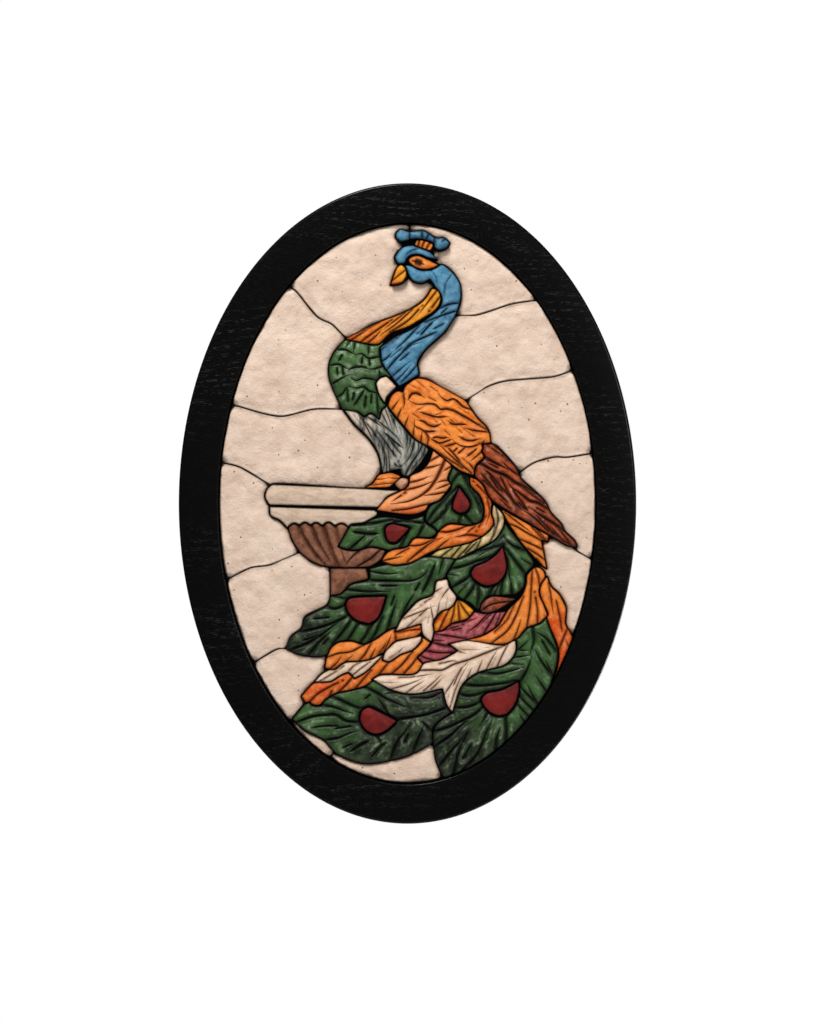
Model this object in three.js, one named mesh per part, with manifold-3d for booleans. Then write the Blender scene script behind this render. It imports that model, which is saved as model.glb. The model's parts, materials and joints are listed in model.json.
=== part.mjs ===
// An oval wall panel: a mosaic of carved, coloured stones that shows a peacock on a fountain bowl.
// The stones are set on a board, and a flat oval frame of black stained wood holds the board in a rebate.
// The back lies in the plane y = 0 with the origin at its centre, the face looks along -Y, and +Z is up.
import * as THREE from "three";
import Module from "manifold-3d";

// Frame and board, in millimetres
const panelWidth = 500;
const panelHeight = 700;
const railWidth = 43;
const frameDepth = 22;
const frameOuterRound = 3;
const frameInnerRound = 1.5;
const rebateDepth = 8;
const boardThickness = 6;
const boardClearance = 0.5;

// Stones, in millimetres
const slabThickness = 14;
const bowlThickness = 17;
const tailThickness = 17;
const dropThickness = 18.5;
const bodyThickness = 19;
const wingThickness = 21;
const headThickness = 22;
const seam = 1.1;
const borderGap = 1.5;
const slabEdge = 2;
const figureEdge = 1.6;
const grooveWidth = 2.4;
const grooveDepth = 2;

// The full-size drawing of the picture was made for an opening of this size
const drawingWidth = 414;
const drawingHeight = 614;

// Fineness of the faceted solids
const ovalSteps = 56;
const spanSteps = 4;
const chordError = 1;
const shortestEdge = 0.05;
const fewestCorners = 4;

// How an outline is grown or drawn in
const roomShare = 0.35;
const longestMitre = 2;
const settlingRounds = 12;
const settlingShare = 0.5;
const parallelBelow = 1e-9;
const touchingBelow = 1e-6;

// The cutter of a stroke stands this far out of the stone
const cutterRise = 0.5;

// What follows from the sizes above
const openingHalfWidth = panelWidth / 2 - railWidth;
const openingHalfHeight = panelHeight / 2 - railWidth;
const drawingScaleX = (2 * openingHalfWidth) / drawingWidth;
const drawingScaleZ = (2 * openingHalfHeight) / drawingHeight;
const bedPlane = -boardThickness;

const wasm = await Module();
wasm.setup();

// A point of an outline is [x, z], or [x, z, corner] where the line turns sharply
const corner = true;

const finishes = {
  ebony: { color: "#0d0d0d", roughness: 0.5 },
  board: { color: "#14110f", roughness: 0.9 },
  slab: { color: "#d9c4b4", roughness: 0.75 },
  rim: { color: "#cdbfa6", roughness: 0.7 },
  shell: { color: "#6f4d3c", roughness: 0.6 },
  blue: { color: "#4c84a8", roughness: 0.45 },
  green: { color: "#3c5f36", roughness: 0.4 },
  grey: { color: "#5d6c70", roughness: 0.5 },
  orange: { color: "#dc7a2b", roughness: 0.5 },
  amber: { color: "#e3962c", roughness: 0.5 },
  brown: { color: "#5b3424", roughness: 0.45 },
  red: { color: "#762328", roughness: 0.45 },
  cream: { color: "#e2d2c2", roughness: 0.65 },
  olive: { color: "#8f8c4e", roughness: 0.5 },
  magenta: { color: "#8b3f59", roughness: 0.5 },
};

// Strokes from one rail to the other, evenly spread, as a carver sets the barbs of a feather
function ladder(railA, railB, count) {
  const rails = [railA, railB].map((rail) => {
    const points = rail.map(([x, z]) => new THREE.Vector3(x, z, 0));
    return new THREE.CatmullRomCurve3(points, false, "centripetal");
  });
  return Array.from({ length: count }, (_, i) =>
    rails.map((rail) => {
      const p = rail.getPointAt(count > 1 ? i / (count - 1) : 0.5);
      return [p.x, p.y];
    }),
  );
}

// The picture, stone by stone. A stone earlier in the list is set first, and the later ones are cut to it,
// so a later outline may run on under an earlier stone.
const figure = [
  {
    name: "crest",
    finish: "blue",
    thickness: headThickness,
    outline: [
      [-13, 292], [-8, 299], [1, 296.5], [10, 297.6], [18, 297], [25, 294], [31, 289.5], [40, 289.5],
      [46, 284], [42, 279], [35, 276.5], [30, 279], [28.5, 284], [20, 287.7], [6, 289], [-7, 286],
    ],
    grooves: [
      [[2, 297], [2.5, 291]],
      [[16, 295], [16, 290]],
      [[23.5, 293], [22, 289]],
      [[30, 289], [29, 284]],
      [[41, 287], [37, 284]],
    ],
  },
  {
    name: "crest_stem",
    finish: "orange",
    thickness: bodyThickness,
    outline: [
      [10, 288.6, corner], [20, 287.5], [29, 283, corner], [24.6, 275.6, corner], [16, 279.2],
      [7.7, 281.8, corner],
    ],
    grooves: ladder([[13, 289], [25, 286]], [[12, 280.5], [21, 277.5]], 3),
  },
  {
    name: "crown",
    finish: "blue",
    thickness: headThickness,
    outline: [
      [-10, 262, corner], [-13.5, 268], [-10, 275], [-2, 280.5], [7, 281.5], [15, 278.8], [24, 274.3],
      [32, 266.5, corner], [22, 268.2], [14, 271.5], [4, 271], [-2, 266.5], [-3, 262.5, corner],
    ],
    grooves: [[[-8, 268], [2, 275], [14, 275]]],
  },
  {
    name: "eye",
    finish: "orange",
    thickness: headThickness,
    outline: [
      [1, 265.5], [6, 269.2], [12, 270], [20, 267.5], [34, 260, corner], [27, 256.5], [20, 255.3],
      [12, 256.3], [5, 260],
    ],
    grooves: [[[7.5, 264.5], [12, 262.6], [17, 260.8]]],
  },
  {
    name: "beak",
    finish: "amber",
    thickness: headThickness,
    outline: [
      [-7, 260.5], [-3, 257.5], [-1, 249], [-6, 241.5], [-18, 238.8, corner], [-16.5, 244], [-13, 252],
      [-10, 259],
    ],
    grooves: [[[-14, 245], [-2.5, 254]]],
  },
  {
    name: "throat_stripe",
    finish: "amber",
    thickness: bodyThickness,
    outline: [
      [27, 234.8], [33, 232.5], [36.4, 223], [31, 212], [20, 204.3], [0, 192.7], [-18, 186.4],
      [-31, 174.5], [-42, 174], [-52.7, 176.2], [-67.5, 179.5, corner], [-45, 191.8], [-21, 201.8],
      [0, 210], [17.3, 221], [24, 230],
    ],
    grooves: [
      ...ladder([[-58, 180], [-35, 178], [0, 199.5], [13, 205]], [[-32, 195], [0, 209], [31, 231]], 6),
      [[35, 225], [27, 214]],
    ],
  },
  {
    name: "neck",
    finish: "blue",
    thickness: wingThickness,
    outline: [
      [-2.5, 260, corner], [20, 257], [36, 261], [46, 255], [56, 242], [58.3, 228], [54, 210],
      [45, 193], [28, 177], [15, 163], [10.3, 153], [12, 141, corner], [0, 132.7], [-9, 128, corner],
      [-20, 141], [-28, 156], [-29, 170, corner], [-12.7, 182], [4.6, 190], [21, 202], [35.5, 213.6],
      [37.8, 225.4], [32, 235], [24.6, 245.4, corner], [15.5, 241], [6, 243.5], [-0.5, 253.6],
    ],
    grooves: [
      [[55, 218], [38, 214.5]],
      [[52, 209.5], [22, 198]],
      ...ladder(
        [[10, 192], [30, 188], [18, 173], [8, 148]],
        [[-28, 160], [-22, 144], [-10, 133], [0, 136]],
        7,
      ),
    ],
  },
  {
    name: "shoulder_chip",
    finish: "cream",
    thickness: bodyThickness,
    outline: [
      [-23, 138.5, corner], [-30, 136.5], [-34, 131], [-32, 121], [-25, 110, corner], [-21, 119],
      [-12, 127.5, corner],
    ],
    grooves: [],
  },
  {
    name: "breast",
    finish: "green",
    thickness: bodyThickness,
    outline: [
      [-68, 178.5, corner], [-79, 166], [-85, 153], [-85.5, 140], [-80, 122], [-71, 103.6, corner],
      [-57, 101.8], [-47, 95.5, corner], [-40, 99], [-31.3, 92.7, corner], [-29, 102],
      [-24, 106, corner], [-24, 128], [-18, 140, corner], [-24, 160], [-27, 177, corner], [-50, 182],
    ],
    grooves: [
      [[-75, 168], [-68, 167.5], [-60, 163]],
      [[-60, 163], [-46, 160], [-31, 160]],
      [[-83, 151], [-72, 151.5], [-62, 146.5]],
      [[-62, 146.5], [-50, 149], [-44, 147]],
      [[-44, 147], [-37, 147], [-30, 149]],
      [[-80, 132], [-74, 136], [-68, 139]],
      [[-60, 136], [-48, 137], [-35, 133]],
      [[-76, 117], [-70, 122], [-64, 127]],
      [[-64, 127], [-50, 127.5], [-36, 122]],
      ...ladder([[-65, 121], [-50, 123], [-34, 117]], [[-65, 109], [-56, 106], [-33, 101]], 6),
      ...ladder([[-72, 163], [-42, 158]], [[-75, 156], [-42, 151]], 3),
    ],
  },
  {
    name: "wing",
    finish: "orange",
    thickness: wingThickness,
    outline: [
      [-10, 122.5, corner], [-17, 118], [-21, 106, corner], [-8, 91], [8, 71], [27, 60], [48, 43],
      [60, 34.5], [72.3, 30.7, corner], [74, 41], [83.2, 50.8, corner], [80, 56], [82, 60, corner],
      [80, 65], [90.8, 66.3, corner], [88, 80], [77, 92], [68.5, 104, corner], [63, 112], [51, 120],
      [36, 127.5], [18, 136], [8, 135.5], [-2, 128], [-5, 121, corner],
    ],
    grooves: [
      [[-5, 121], [-3.2, 110], [-4.5, 103.6]],
      [[-3, 110.5], [4, 111.5], [10, 109]],
      [[10, 109], [24, 108.5], [36, 103]],
      [[36, 103], [52, 101.5], [66, 93.5]],
      [[66, 93.5], [76, 87], [85, 81]],
      [[34, 119], [42, 113], [50, 114]],
      [[50, 114], [57, 109], [64, 104]],
      [[14, 99.5], [25, 96], [44, 94]],
      [[46, 88.5], [58, 86.5], [70, 80]],
      [[70, 80], [79, 79], [88, 78]],
      [[13, 90], [20, 88], [27, 84]],
      [[27, 84], [35, 86], [40, 83]],
      [[8, 86], [17, 79], [22, 66]],
      [[30, 68], [45, 55], [66, 35]],
      [[26, 72], [38, 72], [50, 66.5]],
      [[50, 66.5], [64, 62], [78, 65]],
      [[1, 112.7], [6, 119.5], [17, 117]],
      ...ladder([[-11, 112], [0.5, 95], [16, 79]], [[-16, 105.5], [-4, 88], [13, 68]], 5),
      ...ladder([[62, 59], [80, 56]], [[54, 52], [69, 45]], 3),
    ],
  },
  {
    name: "thigh",
    finish: "orange",
    thickness: bodyThickness,
    outline: [
      [28, 58, corner], [23.5, 45], [16, 36], [3, 29.5, corner], [1, 19], [-8, 12.5], [-22.5, 5.7],
      [-34, -7.5, corner], [-17, -9], [5.5, -12], [20, -7, corner], [23, -1], [35, 4], [40, 12],
      [47.3, 20], [43.5, 26], [47, 37], [48, 42], [39, 49],
    ],
    grooves: [
      [[-28, -3], [-8, 1], [10, 6]],
      [[10, 6], [26, 18], [34, 34]],
      [[34, 34], [37, 40], [39, 47]],
      [[-17, 2], [-7, 8]],
      [[0, 15], [30, 26]],
      [[6, 22], [23, 29.5]],
      [[24, 39], [35, 43]],
      [[31, 22.7], [44, 25]],
      [[31, 15], [43, 20]],
      [[17, 8], [35, 11.5]],
      [[-12, -7.5], [17, -3]],
    ],
  },
  {
    name: "claw",
    finish: "orange",
    thickness: bodyThickness,
    outline: [
      [-46, 17.5, corner], [-38, 21.5], [-31, 31], [-18, 33.5], [-7, 29.5, corner], [-14, 24],
      [-20, 18, corner], [-33, 17],
    ],
    grooves: [[[-40, 19.5], [-28, 21], [-20, 24.5]]],
  },
  {
    name: "knuckle",
    finish: "brown",
    thickness: bodyThickness,
    outline: [[-8, 28], [-1, 27.8], [2, 24], [1, 19], [-5, 14.5], [-11, 17], [-14, 22]],
    grooves: [],
  },
  {
    name: "belly",
    finish: "grey",
    thickness: bodyThickness,
    outline: [
      [-69, 101.5, corner], [-58, 87], [-42, 71], [-32, 55], [-27, 33, corner], [-13, 36],
      [-8, 38, corner], [-5, 30.5], [1, 29.7, corner], [13, 42], [23, 58, corner], [10, 76], [-6, 98],
      [-24, 108, corner], [-50, 107],
    ],
    grooves: [
      [[-43, 95], [-28, 83]],
      [[-24, 77], [-5, 58]],
      [[-25, 60], [-22, 42]],
      [[5, 70], [3, 60]],
      [[16, 62], [8, 50]],
      [[14, 52], [1, 35]],
    ],
  },
  {
    name: "primaries",
    finish: "brown",
    thickness: bodyThickness,
    outline: [
      [83, 65.5], [96, 63], [108, 50], [121, 35.4], [124, 27, corner], [129, 21.3], [141, 10.4],
      [152.6, -1.4], [156, -10, corner], [167.3, -21.4], [171, -30, corner], [183, -42],
      [184.6, -48.2, corner], [170.5, -43.7], [150, -30.5], [128, -17.3], [104.5, -4.6], [90, 6],
      [83.5, 20], [73, 31, corner], [72, 42], [80, 54],
    ],
    grooves: [
      [[92, 60], [120, 38]],
      [[90, 55], [122, 32]],
      [[85, 50], [120, 28], [134, 16]],
      [[80, 43], [110, 26], [140, 9]],
      [[78, 38], [100, 15], [120, -5]],
      [[120, -5], [134, -15], [147, -25]],
      [[100, 30], [125, 0], [143, -15]],
      [[143, -15], [155, -22], [168, -27]],
      [[84, 20], [100, 5], [115, -6]],
      [[125, 22], [145, -2], [165, -22]],
      [[150, -22], [178, -44]],
    ],
  },
  {
    name: "drop_top",
    finish: "red",
    thickness: dropThickness,
    outline: [[56.5, 17.5, corner], [65, 6.3], [68, -2], [64, -8.5], [56, -10], [50, -6], [50.5, 3]],
    grooves: [],
  },
  {
    name: "drop_left_small",
    finish: "red",
    thickness: dropThickness,
    outline: [
      [2, -27.2, corner], [-8, -23.6], [-17, -22.5], [-23, -26], [-24, -33], [-20, -41.5],
      [-13, -42], [-4, -33],
    ],
    grooves: [],
  },
  {
    name: "drop_left_big",
    finish: "red",
    thickness: dropThickness,
    outline: [
      [-24, -101.7, corner], [-40, -103], [-55, -102.7], [-65, -105.5], [-67, -112], [-63, -121],
      [-55, -127.5], [-42, -130.8], [-34, -126], [-27, -113],
    ],
    grooves: [],
  },
  {
    name: "drop_centre",
    finish: "red",
    thickness: dropThickness,
    outline: [
      [104, -47.5, corner], [107, -60], [107.5, -73], [101, -84.5], [88, -89.5], [76, -85.5],
      [69.5, -77], [73, -70], [86, -64], [97, -56],
    ],
    grooves: [],
  },
  {
    name: "drop_bottom_left",
    finish: "red",
    thickness: dropThickness,
    outline: [
      [-12, -237.5, corner], [-26, -231], [-42, -223], [-50, -227.5], [-51.5, -237], [-45, -247.5],
      [-35, -251.5], [-25, -248.5],
    ],
    grooves: [],
  },
  {
    name: "drop_bottom_right",
    finish: "red",
    thickness: dropThickness,
    outline: [
      [121, -195, corner], [121.5, -206], [117, -219], [108, -229.5], [99, -231.3], [88, -226],
      [81, -214], [86, -208], [103, -204.2],
    ],
    grooves: [],
  },
  {
    name: "orange_ribbon",
    finish: "orange",
    thickness: tailThickness,
    outline: [
      [68, 29.4, corner], [80, 23], [84, 14], [92, 1], [91, -10], [94, -21], [88, -30.5], [79, -36.7],
      [66, -43], [45, -47.6], [28, -52], [10, -62], [-4, -66.5], [-15, -67], [-28.7, -63, corner],
      [-22, -54], [-10, -49], [0, -47.7, corner], [6, -39.5], [14, -37.5], [30, -37.8, corner],
      [34, -31, corner], [44, -23.5], [56, -23], [64, -24.8], [75, -23], [82.5, -18], [84, -5],
      [79, 9], [69, 20],
    ],
    grooves: [
      [[36, -33], [50, -30], [66, -25]],
      [[55, -35], [78, -36]],
      [[34, -48], [45, -38]],
      [[-15, -58], [-2, -51]],
      [[4, -60], [19, -47]],
      [[19, -47], [32, -40], [52, -37]],
      [[3, -46.5], [14, -45.5], [28, -40]],
      [[88, -2], [88, -16], [82, -30]],
    ],
  },
  {
    name: "green_eye_top",
    finish: "green",
    thickness: tailThickness,
    outline: [
      [50, 41, corner], [59, 35.5], [68, 28, corner], [72, 20], [80, 10], [87, -3], [87, -18],
      [78, -28], [60, -31], [36, -33, corner], [28, -25, corner], [20, -19, corner], [21, -10],
      [26, -2], [37, 4], [48, 17], [44.8, 26], [48.2, 38],
    ],
    grooves: [
      [[58, 33], [47, 20]],
      [[53, 15], [30, -10], [22, -19]],
      [[47, -2], [26, -23]],
      [[60, 28], [70, 10], [80, -8]],
      [[62, -12], [70, -21]],
    ],
  },
  {
    name: "green_left_small",
    finish: "green",
    thickness: tailThickness,
    outline: [
      [-75, -47, corner], [-66, -31.5], [-62, -24, corner], [-48, -22], [-36, -16], [-20, -15],
      [0, -18], [18, -13.5, corner], [18.5, -20], [31, -29], [31.5, -33, corner], [20, -40], [4, -44],
      [-2, -50, corner], [-14, -52], [-23, -50.5, corner], [-40, -47.2], [-56, -50.8], [-68, -49.8],
    ],
    grooves: [
      [[-60, -32], [-32, -33]],
      [[-44, -33], [-60, -47]],
      [[-25, -20], [-58, -23]],
      [[-12, -20], [15, -21]],
      [[-2, -36], [-8, -48]],
      [[19, -23], [10, -37]],
    ],
  },
  {
    name: "feather_stripe",
    finish: "olive",
    thickness: tailThickness,
    outline: [
      [94, -1, corner], [101, -7.5], [105.5, -15], [105, -24], [99, -35], [92, -42], [80, -46.5],
      [71, -51.5], [54, -60.3, corner], [40, -58], [25, -57.5, corner], [40, -47], [66, -40],
      [84, -31], [91, -18],
    ],
    grooves: [
      [[45, -51], [38, -58]],
      [[58, -48], [47, -57]],
      [[68, -45], [58, -56]],
      [[79, -38], [78, -46]],
      [[95, -26], [92, -42]],
      [[97, -6], [99, -18], [96, -30]],
    ],
  },
  {
    name: "orange_right_upper",
    finish: "orange",
    thickness: tailThickness,
    outline: [
      [102.5, -6, corner], [116, -13], [137, -26], [154.5, -35, corner], [153, -41.5, corner],
      [146, -39.5, corner], [148, -55], [152, -71, corner], [145, -66], [136, -54.5], [124, -42],
      [112, -24], [106, -14],
    ],
    grooves: [
      [[109, -23], [125, -28], [143, -37]],
      [[111, -13], [135, -31]],
      [[124, -40], [147, -50]],
      [[135, -52], [149, -60]],
      [[140, -29], [150, -40]],
    ],
  },
  {
    name: "brown_seed",
    finish: "brown",
    thickness: tailThickness,
    outline: [
      [79, -118.5, corner], [81, -110], [90, -102], [104, -102.3], [118.5, -104.3, corner],
      [103, -114], [89, -119.5],
    ],
    grooves: [[[82, -116], [95, -109.5], [111, -107]]],
  },
  {
    name: "green_centre",
    finish: "green",
    thickness: tailThickness,
    outline: [
      [107, -22.5, corner], [119, -37.3], [130, -53.5], [138, -65], [134, -72.5], [128.5, -78],
      [128, -88], [121, -97.5], [108, -100], [95, -100], [85, -103], [77, -117, corner], [69, -109],
      [53.5, -100], [47, -88], [43, -79, corner], [50, -67], [54, -60, corner], [70, -49], [88, -40],
      [98, -32],
    ],
    grooves: [
      [[98, -43], [60, -56]],
      [[92, -52], [66, -62]],
      [[70, -69], [50, -70]],
      [[66, -80], [50, -91]],
      [[68, -87], [57, -97]],
      [[75, -87], [62, -103]],
      [[77, -91], [76, -112]],
      [[93, -91], [90, -98]],
      [[103, -90], [102, -99]],
      [[112, -85], [114, -98]],
      [[110, -60], [112, -85]],
      [[112, -58], [128, -76]],
      [[104, -36], [123, -46]],
    ],
  },
  {
    name: "orange_drape",
    finish: "orange",
    thickness: tailThickness,
    outline: [
      [138, -71, corner], [144, -70], [150.7, -78.7], [146, -87, corner], [143.5, -97], [149, -112],
      [152.7, -122, corner], [145, -130], [130, -136], [121, -146], [108, -153], [88, -153],
      [64, -149.3, corner], [80, -145.5], [99.5, -133.5], [109.8, -117], [125, -101], [130, -88],
      [131, -78],
    ],
    grooves: [
      [[135, -80], [133, -106], [131, -132]],
      [[126, -107], [113, -135], [95, -150]],
      [[124, -127], [117, -147]],
      [[140, -103], [143, -127]],
      [[140.5, -72], [144, -85]],
    ],
  },
  {
    name: "orange_edge",
    finish: "orange",
    thickness: tailThickness,
    outline: [
      [152.7, -80.5, corner], [157, -91], [166, -100], [173, -114], [172.7, -132], [183, -152],
      [179, -163], [171, -179], [159.7, -194, corner], [165, -176], [165.5, -160.5], [157.2, -138],
      [150, -118], [141, -98], [145, -83],
    ],
    grooves: [
      [[156, -90], [160, -120]],
      [[163, -105], [169, -140]],
      [[174, -144], [168, -160]],
    ],
  },
  {
    name: "yellow_leaf",
    finish: "amber",
    thickness: tailThickness,
    outline: [
      [54.3, -105.5, corner], [63, -108.5], [72.9, -117, corner], [65, -126], [48, -131],
      [38, -138.5], [29.5, -140.3, corner], [29, -130], [37, -119], [46, -115.5], [52, -110],
    ],
    grooves: [
      [[53, -109], [50, -122], [47, -130]],
      [[55, -108], [57, -126]],
      [[58, -110], [66, -124]],
      [[45, -118], [36, -136]],
    ],
  },
  {
    name: "cream_upper",
    finish: "cream",
    thickness: tailThickness,
    outline: [
      [32, -85.3, corner], [43.5, -82.8, corner], [46, -92], [53.4, -102.4], [50, -112], [40, -122],
      [30, -136], [26, -151, corner], [17.2, -143.8], [15, -131, corner], [0, -135],
      [-13, -139.8, corner], [-8, -129], [0, -119], [12, -106.5], [28, -100], [31, -92],
    ],
    grooves: [
      [[43, -92], [37, -106]],
      [[28, -112], [0, -123]],
      [[24, -110], [28, -126]],
      [[26, -103], [20, -108]],
      [[12, -124], [1, -134]],
      [[34, -107], [33, -120]],
    ],
  },
  {
    name: "cream_mid",
    finish: "cream",
    thickness: tailThickness,
    outline: [
      [15, -145, corner], [15, -150], [6, -159.5], [-8, -165], [-20, -172.5], [-27, -171],
      [-24, -162], [-13, -151.5], [2, -148.5],
    ],
    grooves: [[[-4, -156.5], [-12, -164]]],
  },
  {
    name: "orange_left_upper",
    finish: "orange",
    thickness: tailThickness,
    outline: [
      [-90, -180, corner], [-88, -168], [-83, -157.5], [-75, -152], [-60, -151], [-48, -154.5],
      [-36, -149.5], [-22, -140], [-14, -136.5, corner], [0, -133], [14, -131.8, corner],
      [15.5, -140], [8, -146.6], [-8, -150.5], [-27, -162.8], [-38, -169], [-52, -172], [-68, -173],
      [-80, -181],
    ],
    grooves: [
      [[-86, -167], [-72, -163], [-52, -156]],
      [[-72, -166], [-80, -178]],
      [[-60, -165], [-75, -178]],
      [[-42, -157], [-52, -171]],
      [[-35, -158], [-41, -168]],
      [[-25, -150], [-30, -162]],
      [[-18, -142], [-22, -154]],
    ],
  },
  {
    name: "cream_quills",
    finish: "cream",
    thickness: tailThickness,
    outline: [
      [-101.5, -195, corner], [-94, -187], [-86, -182], [-72, -175], [-58, -170], [-38, -168.5],
      [-27, -166, corner], [-34, -174], [-46, -184], [-58, -191, corner], [-64.5, -184.5, corner],
      [-74, -188], [-84, -194],
    ],
    grooves: [
      [[-90, -191], [-72, -181]],
      [[-64, -184], [-56, -176]],
      [[-57, -186], [-45, -177]],
    ],
  },
  {
    name: "cream_lower",
    finish: "cream",
    thickness: tailThickness,
    outline: [
      [-38, -192.5, corner], [-30, -188], [-8, -188], [10, -186], [18, -175, corner], [34, -172],
      [50, -165], [56, -161, corner], [45, -154, corner], [60, -150], [90, -149], [108, -150],
      [118, -150, corner], [118, -162], [108, -175], [94, -180], [76, -185], [62, -195], [54, -210],
      [49, -228, corner], [42, -218], [38.5, -202, corner], [24, -205], [6, -208], [-12, -205.5],
      [-26, -199.5],
    ],
    grooves: [
      [[-15, -202], [10, -195], [40, -188]],
      [[-24, -194], [8, -191]],
      [[58, -156], [80, -160]],
      [[62, -152], [88, -163]],
      [[104, -158], [78, -169], [48, -181]],
      [[96, -162], [88, -178]],
      [[82, -168], [72, -184]],
      [[66, -174], [56, -196]],
      [[56, -178], [48, -216]],
      [[26, -177], [32, -186]],
      [[40, -174], [46, -181]],
    ],
  },
  {
    name: "magenta_feather",
    finish: "magenta",
    thickness: tailThickness,
    outline: [
      [73.4, -118.5, corner], [88, -121], [109, -118, corner], [104, -130], [90, -143], [72, -150],
      [46.5, -154, corner], [56, -162, corner], [48, -168], [30, -174], [18, -175.5, corner],
      [11.2, -168.6], [20, -160], [28, -151], [27, -142, corner], [42, -133], [56, -127], [66, -122],
    ],
    grooves: [
      [[76, -126], [50, -131]],
      [[85, -125], [65, -141]],
      [[95, -122], [84, -140]],
      [[35, -142], [58, -147]],
      [[30, -152], [45, -152]],
      [[25, -161], [50, -163]],
      [[18, -167], [28, -170]],
    ],
  },
  {
    name: "orange_left_lower",
    finish: "orange",
    thickness: tailThickness,
    outline: [
      [25, -152, corner], [21, -160], [12, -169], [18, -176, corner], [12, -186], [0, -189],
      [-31, -189], [-38, -193], [-46, -199], [-66, -204.5, corner], [-78, -207], [-90, -214],
      [-96, -220], [-104, -219.5, corner], [-107, -216, corner], [-111, -218, corner],
      [-116, -211, corner], [-110, -204], [-103, -197, corner], [-84, -192], [-62, -182],
      [-45, -178], [-28, -166], [-12, -160], [17, -147, corner],
    ],
    grooves: [
      [[-107, -216], [-92, -204], [-74, -195]],
      [[-70, -202], [-61, -192]],
      [[-54, -199], [-42, -187]],
      [[-24, -176], [-32, -187]],
      [[-2, -170], [-16, -186]],
      [[12, -166], [-4, -186]],
    ],
  },
  {
    name: "green_left_big",
    finish: "green",
    thickness: tailThickness,
    outline: [
      [-133, -158.5, corner], [-127, -146], [-115, -136], [-112, -125], [-100, -117.5], [-87, -111],
      [-83.6, -101.5, corner], [-73, -99.5], [-62, -89], [-52, -85], [-42, -83, corner],
      [-41.5, -71.5, corner], [-20, -66], [10, -60], [40, -57], [52, -62, corner], [46, -76],
      [36, -84, corner], [28, -108], [8, -116], [-6, -138, corner], [-22, -146], [-50, -158],
      [-82, -162], [-90, -166, corner], [-104, -167], [-120, -164],
    ],
    grooves: [
      [[-38.7, -84], [-12, -84.6], [8, -83.5]],
      [[8, -83.5], [18, -77.7], [24, -68]],
      [[-70, -124], [-90, -134], [-113, -139]],
      [[-75, -128], [-95, -146], [-121, -157]],
      [[-62, -128], [-77, -147]],
      [[-56, -132], [-65, -148]],
      [[-42, -134], [-54, -150]],
      [[-30, -129], [-40, -147]],
      [[-13, -105], [-21, -133]],
      [[-85, -140], [-110, -166]],
      [[-102, -126], [-90, -125]],
      [[-86, -114], [-72, -111]],
      [[-67, -95], [-44, -95.5], [-20, -96]],
      [[14, -88], [9, -102]],
      [[-4, -95], [-16, -122]],
      [[40, -65], [30, -80]],
    ],
  },
  {
    name: "green_bottom_right",
    finish: "green",
    thickness: tailThickness,
    outline: [
      [116, -148, corner], [135, -132], [152, -120, corner], [161, -145], [165, -170],
      [157, -196, corner], [172, -215, corner], [120, -300], [52, -330, corner], [41, -302],
      [33, -286], [29.5, -268], [28, -252], [33, -240], [50, -228, corner], [48, -214], [58, -192],
      [80, -178], [106, -170],
    ],
    grooves: [
      [[118, -193], [126, -170], [146, -135]],
      [[128, -184], [156, -150]],
      [[110, -203], [100, -185]],
      [[95, -206], [82, -189]],
      [[82, -212], [62, -199]],
      [[80, -222], [56, -221]],
      [[84, -230], [42, -247]],
      [[92, -235], [58, -268]],
      [[101, -236], [86, -270]],
      [[110, -233], [112, -258]],
      [[119, -222], [136, -235]],
      [[124, -208], [150, -212]],
      [[126, -196], [158, -186]],
      [[125, -190], [160, -166]],
      [[62, -262], [44, -290]],
      [[60, -242], [34, -268]],
    ],
  },
  {
    name: "green_bottom_left",
    finish: "green",
    thickness: tailThickness,
    outline: [
      [-126, -236, corner], [-112, -219.5, corner], [-100, -214], [-80, -203], [-40, -190],
      [10, -200], [42, -200, corner], [41, -215], [48.5, -229, corner], [36, -236], [27, -247],
      [28, -261, corner], [10, -271], [-8, -278], [-46, -284], [-66, -279], [-82, -270], [-92, -258],
      [-112, -248],
    ],
    grooves: [
      [[-122, -239], [-90, -231], [-54, -239]],
      [[-100, -220], [-72, -226], [-56, -232]],
      [[-84, -211], [-52, -223]],
      [[-46, -200], [-22, -213], [2, -223]],
      [[-100, -245], [-74, -243]],
      [[-88, -257], [-54, -249]],
      [[-64, -270], [-43, -254]],
      [[-38, -276], [-22, -254]],
      [[-18, -275], [4, -238]],
      [[-6, -236], [18, -232], [40, -226]],
      [[-4, -224], [16, -218], [36, -206]],
      [[6, -268], [16, -240]],
    ],
  },
  {
    name: "rim_upper",
    finish: "rim",
    thickness: bowlThickness,
    outline: [
      [-148, 20.4, corner], [-75, 17.3], [-10, 14, corner], [-18, 2], [-30.5, -4, corner],
      [-100, -2.8], [-151, -1.2, corner], [-155.5, 7], [-153.5, 15],
    ],
    grooves: [],
  },
  {
    name: "bowl_shell",
    finish: "shell",
    thickness: bowlThickness,
    outline: [
      [-130, -26.7, corner], [-124, -22.3], [-118, -24.5, corner], [-112, -21.3], [-106, -24.5, corner],
      [-100, -21.5], [-93, -25, corner], [-86.5, -21], [-79.5, -25, corner], [-72, -22.3],
      [-64, -27, corner], [-55, -43], [-38, -46], [-24, -52, corner], [-30, -62], [-42, -69, corner],
      [-85, -69.3], [-102, -64.5], [-117, -53.5], [-126, -40],
    ],
    grooves: [
      ...ladder([[-117, -26], [-80, -26]], [[-92, -63], [-68, -64]], 4),
      [[-66, -64], [-56, -53]],
      [[-50, -66], [-32, -54]],
    ],
  },
  {
    name: "rim_lower",
    finish: "rim",
    thickness: bowlThickness,
    outline: [
      [-150.5, -3.6, corner], [-33.6, -7.5, corner], [-33, -12], [-47, -22], [-64, -30, corner],
      [-131, -27, corner], [-139, -18.5], [-149.5, -13],
    ],
    grooves: [],
  },
  {
    name: "pedestal",
    finish: "shell",
    thickness: bowlThickness,
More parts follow.
